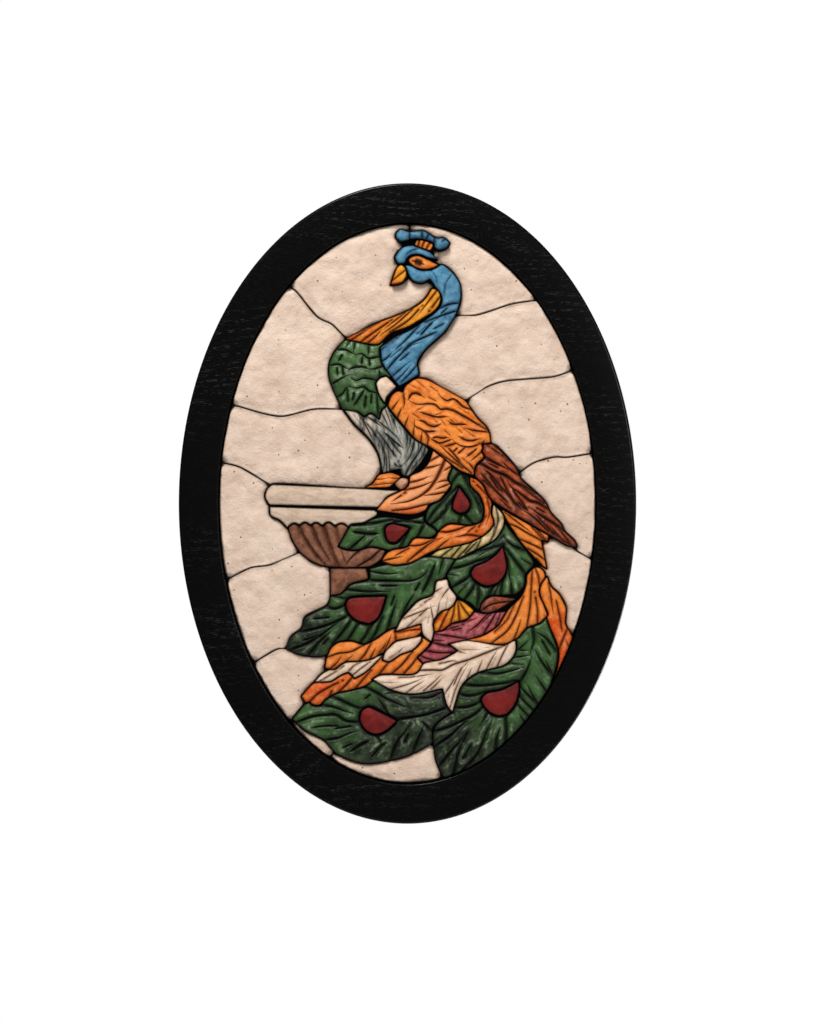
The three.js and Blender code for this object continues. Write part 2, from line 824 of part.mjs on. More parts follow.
    outline: [[-84.3, -71, corner], [-45, -71, corner], [-42, -86, corner], [-60, -94], [-84, -104, corner]],
    grooves: [],
  },
];

// The seams of the plain ground, each drawn from the frame to the figure
const seamTop = [[1.5, 320], [1.5, 296]];
const seamHead = [
  [-140, 248], [-125, 236], [-108, 216], [-97.7, 204], [-82.4, 196.3], [-71.5, 185.6], [-62, 179],
];
const seamBreast = [
  [-214, 109], [-186.5, 107], [-156, 98.4], [-137, 95.8], [-117, 99.3], [-101.7, 103.6], [-84.6, 104.2],
  [-60, 103],
];
const seamRim = [[-215, 48], [-197, 43.2], [-179.7, 38.9], [-162, 27.2], [-149, 20], [-130, 12]];
const seamBowl = [[-212, -90], [-192.6, -80.2], [-172, -70], [-150, -66.5], [-130, -58], [-110, -50]];
const seamTail = [[-188, -185], [-165.4, -172], [-150, -164.2], [-142, -158.5], [-120, -157]];
const seamNeck = [
  [160, 223], [142.4, 222.4], [127, 220.8], [109.6, 217.6], [90, 211.5], [75, 206.5], [42, 205],
];
const seamWing = [
  [215, 162], [198, 153], [181, 146.7], [162.7, 139.8], [143, 137.5], [113.7, 135.2], [97, 132],
  [78.5, 123.7], [55, 108],
];
const seamQuill = [[220, 58], [199.2, 54.8], [173.5, 51], [161, 51.3], [150.5, 49.4], [135, 43.3], [112, 25]];
const seamTip = [[222, -74], [200, -61], [186.5, -52.1], [178, -45]];
const seamSliver = [[-100, -294], [-86, -281], [-82, -273], [-78, -262]];
const seamCorner = [[-150, -246], [-129, -239], [-114, -234]];

// A piece of ground lies between two seams: from the frame along the first, under the figure, and back
function ground(name, first, under, second, outside) {
  const outline = [
    ...first.map(([x, z], i) => [x, z, i === 0 || i === first.length - 1]),
    ...under.map(([x, z]) => [x, z, corner]),
    ...second.map(([x, z], i) => [x, z, i === 0 || i === second.length - 1]).reverse(),
    ...outside.map(([x, z]) => [x, z, corner]),
  ];
  return { name, finish: "slab", thickness: slabThickness, outline, grooves: [] };
}

const slabs = [
  ground(
    "slab_top_left",
    seamTop,
    [
      [-6, 290], [-7, 276], [-6, 263], [-4, 250], [2, 246], [24, 248], [31, 240], [28, 222],
      [0, 202], [-40, 184],
    ],
    seamHead,
    [[-230, 300], [-100, 340]],
  ),
  ground(
    "slab_left_upper",
    seamHead,
    [[-72, 165], [-80, 150], [-78, 125], [-68, 108]],
    seamBreast,
    [[-260, 180]],
  ),
  ground(
    "slab_left_middle",
    seamBreast,
    [[-50, 88], [-36, 72], [-24, 50], [-24, 36], [-30, 25], [-40, 12]],
    seamRim,
    [[-260, 80]],
  ),
  ground(
    "slab_left_lower",
    seamRim,
    [[-146, 5], [-146, -8], [-132, -20], [-124, -34]],
    seamBowl,
    [[-260, -20]],
  ),
  ground(
    "slab_left_base",
    seamBowl,
    [[-100, -62], [-80, -68], [-78, -95], [-80, -114], [-104, -126], [-112, -142]],
    seamTail,
    [[-250, -150]],
  ),
  ground(
    "slab_bottom_left",
    seamTail,
    [[-100, -162], [-86, -162], [-86, -175], [-92, -187], [-104, -203], [-104, -225]],
    seamCorner,
    [[-230, -230]],
  ),
  ground("slab_bottom_sliver", seamCorner, [[-100, -243]], seamSliver, [[-140, -290]]),
  ground(
    "slab_bottom",
    seamSliver,
    [[-60, -272], [-10, -270], [34, -255], [38, -280]],
    [[60, -330], [46, -302]],
    [[-60, -350]],
  ),
  ground(
    "slab_top_right",
    seamTop,
    [[20, 292], [35, 284], [28, 276], [29, 269], [32, 260], [42, 252], [52, 226]],
    seamNeck,
    [[230, 300], [100, 340]],
  ),
  ground(
    "slab_right_upper",
    seamNeck,
    [[38, 196], [24, 182], [8, 160], [6, 142], [12, 128]],
    seamWing,
    [[250, 220]],
  ),
  ground(
    "slab_right_middle",
    seamWing,
    [[64, 98], [82, 76], [94, 55], [114, 36]],
    seamQuill,
    [[260, 110]],
  ),
  ground("slab_right_lower", seamQuill, [[130, 8], [150, -12], [166, -30]], seamTip, [[260, 0]]),
  ground(
    "slab_right_base",
    seamTip,
    [[165, -38], [150, -36], [142, -45], [144, -75], [152, -100], [163, -115], [168, -140]],
    [[240, -200], [175, -158]],
    [[260, -120]],
  ),
];

// A closed polygon through the points of an outline: curves between corners, with no more sides than needed
function polygonOf(outline) {
  const points = outline.map(([x, z]) => new THREE.Vector3(x * drawingScaleX, z * drawingScaleZ, 0));
  const corners = outline.flatMap((p, i) => (p[2] ? [i] : []));
  const fixed = [];
  const add = (curve, spans, closed) => {
    const samples = curve.getPoints(spans * spanSteps);
    samples.slice(0, -1).forEach((p, i) => fixed.push({ x: p.x, z: p.y, keep: !closed && i === 0 }));
  };
  if (corners.length === 0) {
    add(new THREE.CatmullRomCurve3(points, true, "centripetal"), points.length, true);
  }
  corners.forEach((start, k) => {
    const end = corners[(k + 1) % corners.length] + (k + 1 === corners.length ? points.length : 0);
    const run = [];
    for (let i = start; i <= end; i += 1) run.push(points[i % points.length]);
    const straight = run.length === 2;
    const curve = straight
      ? new THREE.LineCurve3(...run)
      : new THREE.CatmullRomCurve3(run, false, "centripetal");
    add(curve, straight ? 1 / spanSteps : run.length - 1, false);
  });
  const counterClockwise = THREE.ShapeUtils.area(fixed.map((p) => ({ x: p.x, y: p.z }))) > 0;
  return thinned(counterClockwise ? fixed : fixed.reverse());
}

// Drops the flattest points while every one dropped stays within the chord error
function thinned(points) {
  const kept = [...points];
  const bulge = (i) => {
    const n = kept.length;
    const [a, p, b] = [kept[(i + n - 1) % n], kept[i], kept[(i + 1) % n]];
    const length = Math.hypot(b.x - a.x, b.z - a.z) || 1;
    return Math.abs((b.x - a.x) * (p.z - a.z) - (b.z - a.z) * (p.x - a.x)) / length;
  };
  for (;;) {
    const bulges = kept.map((p, i) => (p.keep ? Infinity : bulge(i)));
    const flattest = bulges.indexOf(Math.min(...bulges));
    if (bulges[flattest] > chordError || kept.length <= fewestCorners) return kept;
    kept.splice(flattest, 1);
  }
}

// How far a ray from a corner of the polygon runs before it meets another side
function roomAlong(points, index, dx, dz) {
  const { x, z } = points[index];
  const n = points.length;
  let room = Infinity;
  points.forEach((a, i) => {
    const b = points[(i + 1) % n];
    if (i === index || (i + 1) % n === index) return;
    const cross = dx * (b.z - a.z) - dz * (b.x - a.x);
    if (Math.abs(cross) < parallelBelow) return;
    const along = ((a.x - x) * (b.z - a.z) - (a.z - z) * (b.x - a.x)) / cross;
    const share = ((a.x - x) * dz - (a.z - z) * dx) / cross;
    if (along > touchingBelow && share >= 0 && share <= 1) room = Math.min(room, along);
  });
  return room;
}

// The polygon grown by a distance, or drawn in where it is negative. Narrow places move less, so that no
// two sides cross.
function offset(points, distance) {
  const n = points.length;
  const side = (a, b) => {
    const length = Math.hypot(b.x - a.x, b.z - a.z);
    return { x: (b.z - a.z) / length, z: -(b.x - a.x) / length };
  };
  const moves = points.map((p, i) => {
    const before = side(points[(i + n - 1) % n], p);
    const after = side(p, points[(i + 1) % n]);
    const mean = new THREE.Vector2(before.x + after.x, before.z + after.z).normalize();
    const stretch = 1 / Math.max(1 / longestMitre, mean.x * after.x + mean.y * after.z);
    const sign = Math.sign(distance);
    const room = roomAlong(points, i, mean.x * sign, mean.y * sign);
    const reach = sign * Math.min(Math.abs(distance) * stretch, room * roomShare);
    return { x: mean.x * reach, z: mean.y * reach };
  });
  const moved = () => points.map((p, i) => ({ x: p.x + moves[i].x, z: p.z + moves[i].z }));
  for (let round = 0; round < settlingRounds; round += 1) {
    const now = moved();
    const turned = points.flatMap((p, i) => {
      const j = (i + 1) % n;
      const along = (points[j].x - p.x) * (now[j].x - now[i].x) + (points[j].z - p.z) * (now[j].z - now[i].z);
      return along <= 0 ? [i, j] : [];
    });
    if (!turned.length) break;
    turned.forEach((i) => {
      moves[i].x *= settlingShare;
      moves[i].z *= settlingShare;
    });
  }
  return moved();
}

function solidFrom(vertices, triangles) {
  const mesh = new wasm.Mesh({
    numProp: 3,
    vertProperties: new Float32Array(vertices.flat()),
    triVerts: new Uint32Array(triangles.flat()),
  });
  return new wasm.Manifold(mesh);
}

// A closed solid through rings of equal length, from the deepest in the wall to the nearest to the eye
function loft(rings) {
  const n = rings[0].points.length;
  const vertices = rings.flatMap(({ points, y }) => points.map((p) => [p.x, y, p.z]));
  const triangles = [];
  for (let r = 0; r + 1 < rings.length; r += 1) {
    for (let i = 0; i < n; i += 1) {
      const [a, b] = [r * n + i, r * n + ((i + 1) % n)];
      triangles.push([a, b, b + n], [a, b + n, a + n]);
    }
  }
  const cap = (ring) =>
    THREE.ShapeUtils.triangulateShape(ring.points.map((p) => new THREE.Vector2(p.x, p.z)), []);
  const last = (rings.length - 1) * n;
  cap(rings[0]).forEach(([a, b, c]) => triangles.push([a, c, b]));
  cap(rings[rings.length - 1]).forEach(([a, b, c]) => triangles.push([last + a, last + b, last + c]));
  return solidFrom(vertices, triangles);
}

// An ellipse of the opening's shape, inset from the panel's outer edge
function oval(inset) {
  const curve = new THREE.EllipseCurve(0, 0, panelWidth / 2 - inset, panelHeight / 2 - inset);
  return curve.getPoints(ovalSteps).slice(0, -1).map((p) => ({ x: p.x, z: p.y }));
}

// A stone as it is sawn: straight sides and a chamfered top edge
function blank(polygon, thickness, edge) {
  const top = bedPlane - thickness;
  return loft([
    { points: polygon, y: bedPlane },
    { points: polygon, y: top + edge },
    { points: offset(polygon, -edge), y: top },
  ]);
}

// What a set stone takes from a later one: its outline and a seam, opening out at the later stone's top edge
function seat(polygon, thickness, edge) {
  const top = bedPlane - thickness;
  return loft([
    { points: offset(polygon, seam), y: -bedPlane },
    { points: offset(polygon, seam), y: top + edge },
    { points: offset(polygon, seam + 2 * edge), y: top - edge },
  ]);
}

// A V-shaped stroke of two or three points that runs out at both ends and is deepest in the middle
function groove(stroke, thickness, width, depth) {
  const points = stroke.map(([x, z]) => ({ x: x * drawingScaleX, z: z * drawingScaleZ }));
  const [a, b] = [points[0], points[points.length - 1]];
  const middle = points.length === 2 ? { x: (a.x + b.x) / 2, z: (a.z + b.z) / 2 } : points[1];
  const half = (width / 2) * (1 + cutterRise / depth);
  const top = bedPlane - thickness;
  const length = Math.hypot(b.x - a.x, b.z - a.z);
  const [nx, nz] = [-(b.z - a.z) / length, (b.x - a.x) / length];
  const vertices = [
    [a.x, top - cutterRise, a.z],
    [middle.x + nx * half, top - cutterRise, middle.z + nz * half],
    [middle.x - nx * half, top - cutterRise, middle.z - nz * half],
    [middle.x, top + depth, middle.z],
    [b.x, top - cutterRise, b.z],
  ];
  const [start, left, right, keel, end] = [0, 1, 2, 3, 4];
  const triangles = [
    [start, right, left],
    [start, keel, right],
    [start, left, keel],
    [end, left, right],
    [end, right, keel],
    [end, keel, left],
  ];
  return solidFrom(vertices, triangles);
}

// The cuts leave edges much shorter than a saw could follow where they nearly meet: their ends are joined,
// wherever the surface stays closed by it
function withoutSlivers(solid) {
  const { numProp, vertProperties, triVerts } = solid.getMesh();
  const at = (v) => vertProperties.subarray(v * numProp, v * numProp + 3);
  const length = (a, b) => Math.hypot(...[0, 1, 2].map((k) => at(a)[k] - at(b)[k]));
  const cornersOf = (i) => [...triVerts.slice(3 * i, 3 * i + 3)];
  let triangles = Array.from({ length: triVerts.length / 3 }, (_, i) => cornersOf(i));
  const kept = new Set();
  for (;;) {
    const edges = triangles.flatMap(([a, b, c]) => [[a, b], [b, c], [c, a]]);
    const short = edges.find(([a, b]) => length(a, b) < shortestEdge && !kept.has(a + "," + b));
    if (!short) break;
    const [a, b] = short;
    const around = (v) => new Set(triangles.filter((t) => t.includes(v)).flat());
    const shared = [...around(a)].filter((v) => v !== a && v !== b && around(b).has(v));
    if (shared.length === 2) {
      triangles = triangles.map((t) => t.map((v) => (v === b ? a : v)));
      triangles = triangles.filter(([p, q, r]) => p !== q && q !== r && r !== p);
    } else {
      kept.add(a + "," + b).add(b + "," + a);
    }
  }
  const used = [...new Set(triangles.flat())];
  const index = new Map(used.map((v, i) => [v, i]));
  return solidFrom(used.map((v) => [...at(v)]), triangles.map((t) => t.map((v) => index.get(v))));
}

const biggest = (solid) => solid.decompose().reduce((a, b) => (a.volume() > b.volume() ? a : b));

// Two flat boxes around the outlines decide whether one stone can touch another
function boundsOf(polygon) {
  const [xs, zs] = [polygon.map((p) => p.x), polygon.map((p) => p.z)];
  return { left: Math.min(...xs), right: Math.max(...xs), low: Math.min(...zs), high: Math.max(...zs) };
}

const near = (a, b, reach) =>
  a.left - reach < b.right && b.left - reach < a.right && a.low - reach < b.high && b.low - reach < a.high;

function meshOf(name, finish, solid) {
  const { numProp, vertProperties, triVerts } = solid.getMesh();
  const positions = new Float32Array((vertProperties.length / numProp) * 3);
  for (let i = 0; i < positions.length / 3; i += 1) {
    positions.set(vertProperties.subarray(i * numProp, i * numProp + 3), i * 3);
  }
  const geometry = new THREE.BufferGeometry();
  geometry.setAttribute("position", new THREE.BufferAttribute(positions, 3));
  geometry.setIndex(new THREE.BufferAttribute(triVerts, 1));
  geometry.computeVertexNormals();
  const { color, roughness } = finishes[finish];
  const material = new THREE.MeshStandardMaterial({ color, roughness, metalness: 0, flatShading: true });
  const mesh = new THREE.Mesh(geometry, material);
  mesh.name = name;
  return mesh;
}

// The frame's section, as insets from its outer edge and depths from the wall, carried round the oval
function frameRing() {
  const shoulder = railWidth - rebateDepth;
  const section = [
    [0, 0],
    [0, -(frameDepth - frameOuterRound)],
    [frameOuterRound, -frameDepth],
    [railWidth - frameInnerRound, -frameDepth],
    [railWidth, -(frameDepth - frameInnerRound)],
    [railWidth, bedPlane],
    [shoulder, bedPlane],
    [shoulder, 0],
  ];
  const vertices = section.flatMap(([inset, y]) => oval(inset).map((p) => [p.x, y, p.z]));
  const triangles = [];
  section.forEach((_, s) => {
    for (let i = 0; i < ovalSteps; i += 1) {
      const [here, next] = [s * ovalSteps, ((s + 1) % section.length) * ovalSteps];
      const j = (i + 1) % ovalSteps;
      triangles.push([here + i, here + j, next + j], [here + i, next + j, next + i]);
    }
  });
  return solidFrom(vertices, triangles);
}

function backingBoard() {
  const edge = oval(railWidth - rebateDepth + boardClearance);
  return loft([
    { points: edge, y: 0 },
    { points: edge, y: bedPlane },
  ]);
}

// The stones, set one after the other, each cut to those already set and to the oval
function stones() {
  const placed = [...figure, ...slabs].map((stone) => {
    const polygon = polygonOf(stone.outline);
    return { ...stone, polygon, bounds: boundsOf(polygon) };
  });
  const border = oval(railWidth + borderGap);
  return placed.map((stone, i) => {
    const edge = stone.finish === "slab" ? slabEdge : figureEdge;
    const before = placed.slice(0, i).filter((other) => near(stone.bounds, other.bounds, seam));
    let solid = blank(stone.polygon, stone.thickness, edge).intersect(blank(border, stone.thickness, edge));
    before.forEach((other) => {
      solid = solid.subtract(seat(other.polygon, stone.thickness, edge));
    });
    stone.grooves.forEach((stroke) => {
      solid = solid.subtract(groove(stroke, stone.thickness, grooveWidth, grooveDepth));
    });
    return meshOf(stone.name, stone.finish, withoutSlivers(biggest(solid)));
  });
}

const group = new THREE.Group();
group.add(meshOf("frame", "ebony", frameRing()));
group.add(meshOf("backing_board", "board", backingBoard()));
group.add(...stones());

export default group;
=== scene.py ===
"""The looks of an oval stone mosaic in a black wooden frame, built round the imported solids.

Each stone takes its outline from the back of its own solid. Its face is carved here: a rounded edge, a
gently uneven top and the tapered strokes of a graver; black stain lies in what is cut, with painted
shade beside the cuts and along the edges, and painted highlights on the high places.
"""
import json
import logging
import math
from dataclasses import dataclass, field
from enum import Enum

import bpy
import numpy as np
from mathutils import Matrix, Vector
from mathutils.geometry import delaunay_2d_cdt
from mathutils.kdtree import KDTree


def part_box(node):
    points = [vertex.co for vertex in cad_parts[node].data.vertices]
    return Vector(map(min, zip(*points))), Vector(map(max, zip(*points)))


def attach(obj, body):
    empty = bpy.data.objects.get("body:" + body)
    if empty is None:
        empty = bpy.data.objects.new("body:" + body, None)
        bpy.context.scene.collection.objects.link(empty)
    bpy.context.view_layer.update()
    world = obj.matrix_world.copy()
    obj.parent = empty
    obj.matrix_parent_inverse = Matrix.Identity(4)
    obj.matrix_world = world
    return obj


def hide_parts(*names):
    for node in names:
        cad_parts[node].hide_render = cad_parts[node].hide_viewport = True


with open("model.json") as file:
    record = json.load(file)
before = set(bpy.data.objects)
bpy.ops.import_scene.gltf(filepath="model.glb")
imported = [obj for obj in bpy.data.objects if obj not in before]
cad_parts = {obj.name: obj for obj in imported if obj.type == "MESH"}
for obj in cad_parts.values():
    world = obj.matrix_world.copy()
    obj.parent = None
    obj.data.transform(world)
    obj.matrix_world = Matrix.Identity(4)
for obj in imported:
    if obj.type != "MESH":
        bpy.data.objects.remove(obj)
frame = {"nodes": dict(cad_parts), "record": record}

log = logging.getLogger("panel")

# Lengths are in millimetres and angles in degrees, unless a name says otherwise
MM = 0.001                  # a millimetre in metres
BED = 6.0                   # the stones rest on the board this far from the wall
THINNEST = 3.0              # no carving leaves less of a stone than this
FIGURE_STEP = 0.85          # spacing of the surface points on the carved stones
SLAB_STEP = 1.8             # and on the plain ground
FIGURE_EDGE_STEP = 0.8      # spacing of the points along a carved stone's outline
SLAB_EDGE_STEP = 1.3        # and along a slab's
OUTER_ROOM = (0.4, 1.0)     # how far a smoothed outline may stand outside the solid's, and how far inside
HOLE_ROOM = (1.0, 0.4)      # the same for the opening that holds a drop
OPENING = (207.0, 307.0)    # the half sizes of the frame's opening
FIGURE_FADE = 3.4           # the ground gets painted shade, partly stain, beside the bird and the bowl over this length
FIGURE_HOLLOW = 1.3         # and hollowed by this much
FRAME_SHARP = 30.0          # the angle from which an edge of the frame stays sharp
STONE_SHARP = 55.0          # and one of a stone

# The slabs' broken edge along the frame, with the frame's painted shadow in it, and their broken corners
BITE = 1.6                  # how wide the breaks are
BITE_SWING = 1.5            # how much that changes along the frame
BITE_WAVE = 22.0            # over this length
EDGE_BREAK = 4.5            # how deep they fall
CORNER_TURN = 50.0          # a turn above this is a corner
CORNER_BREAK = 4.0          # how deep a broken corner falls
CORNER_REACH = (1.0, 7.0)   # between these distances from the corner the break runs out
CORNER_BLACK = (1.4, 3.0)   # and between these the black in it

# Smooth noise: the size of its table, and the size and weight of its layers
NOISE_CELLS = 64
NOISE_LAYERS = ((1.0, 1.0), (0.45, 0.5), (0.2, 0.25))
NOISE_START = 200.3         # keeps the table's places above zero


# ---------------------------------------------------------------- small helpers

def linear(code: str) -> tuple[float, float, float, float]:
    """Turns an sRGB hex colour into the linear colour that a shader takes.

    Args:
        code: The colour, such as "#4c84a8".

    Returns:
        Linear red, green and blue, and an alpha of 1.
    """
    parts = [int(code[i:i + 2], 16) / 255 for i in (1, 3, 5)]
    flat = [c / 12.92 if c <= 0.04045 else ((c + 0.055) / 1.055) ** 2.4 for c in parts]
    return flat[0], flat[1], flat[2], 1.0


def add_node(tree: bpy.types.NodeTree, kind: str, links: dict | None = None, **settings) -> bpy.types.Node:
    """Adds one shader node.

    Args:
        tree: The material's node tree.
        kind: The node's type name.
        links: What each input takes, by its name or number: an output socket or a plain value.
        settings: Properties of the node itself.

    Returns:
        The new node.
    """
    node = tree.nodes.new(kind)
    for key, value in settings.items():
        setattr(node, key, value)
    for key, value in (links or {}).items():
        if isinstance(value, bpy.types.NodeSocket):
            tree.links.new(value, node.inputs[key])
        else:
            node.inputs[key].default_value = value
    return node


def only(obj: bpy.types.Object) -> None:
    """Selects one object alone and makes it the active one."""
    bpy.ops.object.select_all(action="DESELECT")
    obj.select_set(True)
    bpy.context.view_layer.objects.active = obj


def smooth_step(low: float, high: float, value: np.ndarray) -> np.ndarray:
    """The soft step from 0 at low to 1 at high."""
    t = np.clip((value - low) / (high - low), 0, 1)
    return t * t * (3 - 2 * t)


def uneven(points: np.ndarray, wavelength: float, seed: float) -> np.ndarray:
    """Smooth noise between about -1 and 1.

    Args:
        points: The places, in millimetres, one row each.
        wavelength: The size of one hump in millimetres.
        seed: Moves the pattern, so that each stone has its own.

    Returns:
        One value for each point.
    """
    table = np.random.default_rng(int(seed * 100) + 7).uniform(-1, 1, (NOISE_CELLS, NOISE_CELLS))
    total = np.zeros(len(points))
    for size, weight in NOISE_LAYERS:
        cell = points / (wavelength * size) + NOISE_START
        low = np.floor(cell).astype(int)
        t = cell - low
        t = t * t * (3 - 2 * t)
        corner = [table[(low[:, 0] + i) % NOISE_CELLS, (low[:, 1] + j) % NOISE_CELLS]
                  for i in (0, 1) for j in (0, 1)]
        first = corner[0] * (1 - t[:, 1]) + corner[1] * t[:, 1]
        second = corner[2] * (1 - t[:, 1]) + corner[3] * t[:, 1]
        total += weight * (first * (1 - t[:, 0]) + second * t[:, 0])
    return total


# ---------------------------------------------------------------- flat geometry

def inside(points: np.ndarray, loop: np.ndarray) -> np.ndarray:
    """Says which points lie inside a closed loop, by counting the sides crossed."""
    hit = np.zeros(len(points), bool)
    x, z = points[:, 0], points[:, 1]
    for (ax, az), (bx, bz) in zip(loop, np.roll(loop, -1, axis=0)):
        if az == bz:
            continue
        across = (az > z) != (bz > z)
        hit ^= across & (x < (bx - ax) * (z - az) / (bz - az) + ax)
    return hit


def to_line(points: np.ndarray, line: np.ndarray) -> tuple[np.ndarray, np.ndarray, np.ndarray]:
    """Measures points against an open line.

    Args:
        points: The places, one row each.
        line: The line's own points, one row each.

    Returns:
        The distance, the share of the line's length that lies before the nearest place, and the side:
        1 to the left of the line's direction and -1 to its right.
    """
    best = np.full(len(points), np.inf)
    share = np.zeros(len(points))
    side = np.ones(len(points))
    lengths = np.hypot(*(line[1:] - line[:-1]).T)
    total, run = lengths.sum(), 0.0
    for a, b, length in zip(line[:-1], line[1:], lengths):
        if length < 1e-9:
            continue
        d = (b - a) / length
        rel = points - a
        along = np.clip(rel @ d, 0, length)
        gap = rel - along[:, None] * d
        dist = np.hypot(gap[:, 0], gap[:, 1])
        closer = dist < best
        best[closer] = dist[closer]
        share[closer] = (run + along[closer]) / total
        cross = d[0] * rel[:, 1] - d[1] * rel[:, 0]
        side[closer] = np.where(cross[closer] >= 0, 1.0, -1.0)
        run += length
    return best, share, side


def bend(points: list | tuple | np.ndarray, step: float) -> np.ndarray:
    """A smooth line through a few points, sampled at an even step."""
    p = np.array(points, float)
    if len(p) == 2:
        count = max(2, int(np.hypot(*(p[1] - p[0])) / step) + 1)
        return p[0] + (p[1] - p[0]) * np.linspace(0, 1, count)[:, None]
    ends = np.vstack([2 * p[0] - p[1], p, 2 * p[-1] - p[-2]])
    knots = np.concatenate([[0], np.cumsum(np.sqrt(np.hypot(*(ends[1:] - ends[:-1]).T)) + 1e-6)])
    out = []
    for k in range(len(p) - 1):
        (a, b, c, d), (t0, t1, t2, t3) = ends[k:k + 4], knots[k:k + 4]
        count = max(2, int(np.hypot(*(c - b)) / step))
        t = np.linspace(t1, t2, count, endpoint=False)[:, None]
        ab, bc, cd = (
            (v - t) / (v - u) * p0 + (t - u) / (v - u) * p1
            for u, v, p0, p1 in ((t0, t1, a, b), (t1, t2, b, c), (t2, t3, c, d)))
        first = (t2 - t) / (t2 - t0) * ab + (t - t0) / (t2 - t0) * bc
        second = (t3 - t) / (t3 - t1) * bc + (t - t1) / (t3 - t1) * cd
        out.append((t2 - t) / (t2 - t1) * first + (t - t1) / (t2 - t1) * second)
    return np.vstack([*out, p[-1:]])


def held_near(curve: np.ndarray, loop: np.ndarray, room: tuple[float, float]) -> np.ndarray:
    """Holds a curve near a faceted outline, so that it never reaches across the seam.

    Args:
        curve: The points of the curve.
        loop: The faceted outline.
        room: How far the curve may stand outside the outline, and how far inside.

    Returns:
        The curve, with the points that stood too far away drawn in.
    """
    start, along = loop, np.roll(loop, -1, axis=0) - loop
    share = ((curve[:, None] - start) * along).sum(2) / ((along ** 2).sum(1) + 1e-12)
    feet = start + np.clip(share, 0, 1)[..., None] * along
    away = np.hypot(*np.moveaxis(curve[:, None] - feet, 2, 0))
    nearest = away.argmin(1)
    rows = np.arange(len(curve))
    foot, dist = feet[rows, nearest], away[rows, nearest]
    limit = np.where(inside(curve, loop), room[1], room[0])
    return foot + (curve - foot) * np.minimum(1, limit / np.maximum(dist, 1e-9))[:, None]


def rounded_loop(loop: np.ndarray, step: float, room: tuple[float, float] = OUTER_ROOM,
                 sharp: float = 72.0, wear: float = 1.1) -> np.ndarray:
    """Carries a smooth curve through a faceted outline, and rubs its corners a little round.

    Args:
        loop: The faceted outline, one row a point, not repeated at the end.
        step: The spacing of the new points.
        room: How far the curve may stand outside the faceted outline, and how far inside.
        sharp: A turn above this many degrees is a corner.
        wear: How far the rubbing reaches along the outline.

    Returns:
        The new outline.
    """
    before, after = loop - np.roll(loop, 1, axis=0), np.roll(loop, -1, axis=0) - loop
    lengths = np.hypot(*before.T) * np.hypot(*after.T) + 1e-12
    turn = np.degrees(np.arccos(np.clip((before * after).sum(1) / lengths, -1, 1)))
    corners = np.flatnonzero(turn > sharp)
    if len(corners) == 0:
        corners = np.array([0])
    runs = []
    for k, start in enumerate(corners):
        end = corners[(k + 1) % len(corners)]
        end += len(loop) if end <= start else 0
        run = loop[np.arange(start, end + 1) % len(loop)]
        runs.append(bend(run, step)[:-1])
    curve = np.vstack(runs)
    closed = np.vstack([curve, curve[:1]])
    length = np.concatenate([[0], np.cumsum(np.hypot(*(closed[1:] - closed[:-1]).T))])
    places = np.linspace(0, length[-1], max(8, int(length[-1] / step)), endpoint=False)
    even = held_near(np.column_stack([np.interp(places, length, closed[:, k]) for k in (0, 1)]), loop, room)
    reach = int(3 * wear / step) + 1
    weights = np.exp(-0.5 * (np.arange(-reach, reach + 1) * step / wear) ** 2)
    weights /= weights.sum()
    return sum(w * np.roll(even, k, axis=0) for w, k in zip(weights, range(-reach, reach + 1)))


def outlines(node: str) -> list[np.ndarray]:
    """Reads the closed outlines of the flat back of a stone's solid.

    Args:
        node: The solid's name.

    Returns:
        The outlines in millimetres, the longest first.
    """
    mesh = frame["nodes"][node].data
    keys = [tuple(round(c / MM, 3) for c in v.co) for v in mesh.vertices]
    count: dict[tuple, int] = {}
    for poly in mesh.polygons:
        ring = [keys[v] for v in poly.vertices]
        if all(abs(k[1] + BED) < 0.01 for k in ring):
            for a, b in zip(ring, ring[1:] + ring[:1]):
                count[(a, b)] = count.get((a, b), 0) + 1
    follow = {a: b for (a, b) in count if (b, a) not in count}
    loops = []
    while follow:
        start, here = next(iter(follow.items()))
        del follow[start]
        loop = [start]
        while here != start and here in follow:
            loop.append(here)
            here = follow.pop(here)
        loops.append(np.array([(x, z) for x, _, z in loop]))
    loops = [l for l in loops if len(l) > 2]
    return sorted(loops, key=lambda l: -np.hypot(*(l - np.roll(l, 1, axis=0)).T).sum())


WARM_FINISHES = ("orange_stone", "amber_stone")
PLAIN_FINISHES = ("slab_stone", "frame", "board")
OUTLINE_STEP = 1.5          # spacing of the points by which the figure's outline is found
_edges: dict[str, tuple] = {}   # the figure's outline, kept once it is found


def beside_figure(points: np.ndarray) -> tuple[np.ndarray, np.ndarray]:
    """Says how close each point of the ground lies to the carved stones.

    Args:
        points: The places, in millimetres.

    Returns:
        A share that fades within a few millimetres of any carved stone, for painted shade that is partly
        stain, and one that does so only beside the orange and amber ones, for a painted warm reflection that
        is partly their stain run into the ground.
    """
    if not _edges:
        slots = {part["node"]: part["material_slot"] for part in frame["record"]["subparts"]}
        places = [(p, slot in WARM_FINISHES) for node, slot in slots.items() if slot not in PLAIN_FINISHES
                  for p in rounded_loop(outlines(node)[0], OUTLINE_STEP)]
        tree = KDTree(len(places))
        for k, (place, _) in enumerate(places):
            tree.insert((place[0], place[1], 0), k)
        tree.balance()
        _edges["all"] = (tree, [w for _, w in places])
    tree, warm = _edges["all"]
    near, hot = np.zeros(len(points)), np.zeros(len(points))
    for i, (x, z) in enumerate(points):
        _, k, gap = tree.find((x, z, 0))
        near[i] = math.exp(-(gap / FIGURE_FADE) ** 2)
        hot[i] = near[i] * warm[k]
    return near, hot


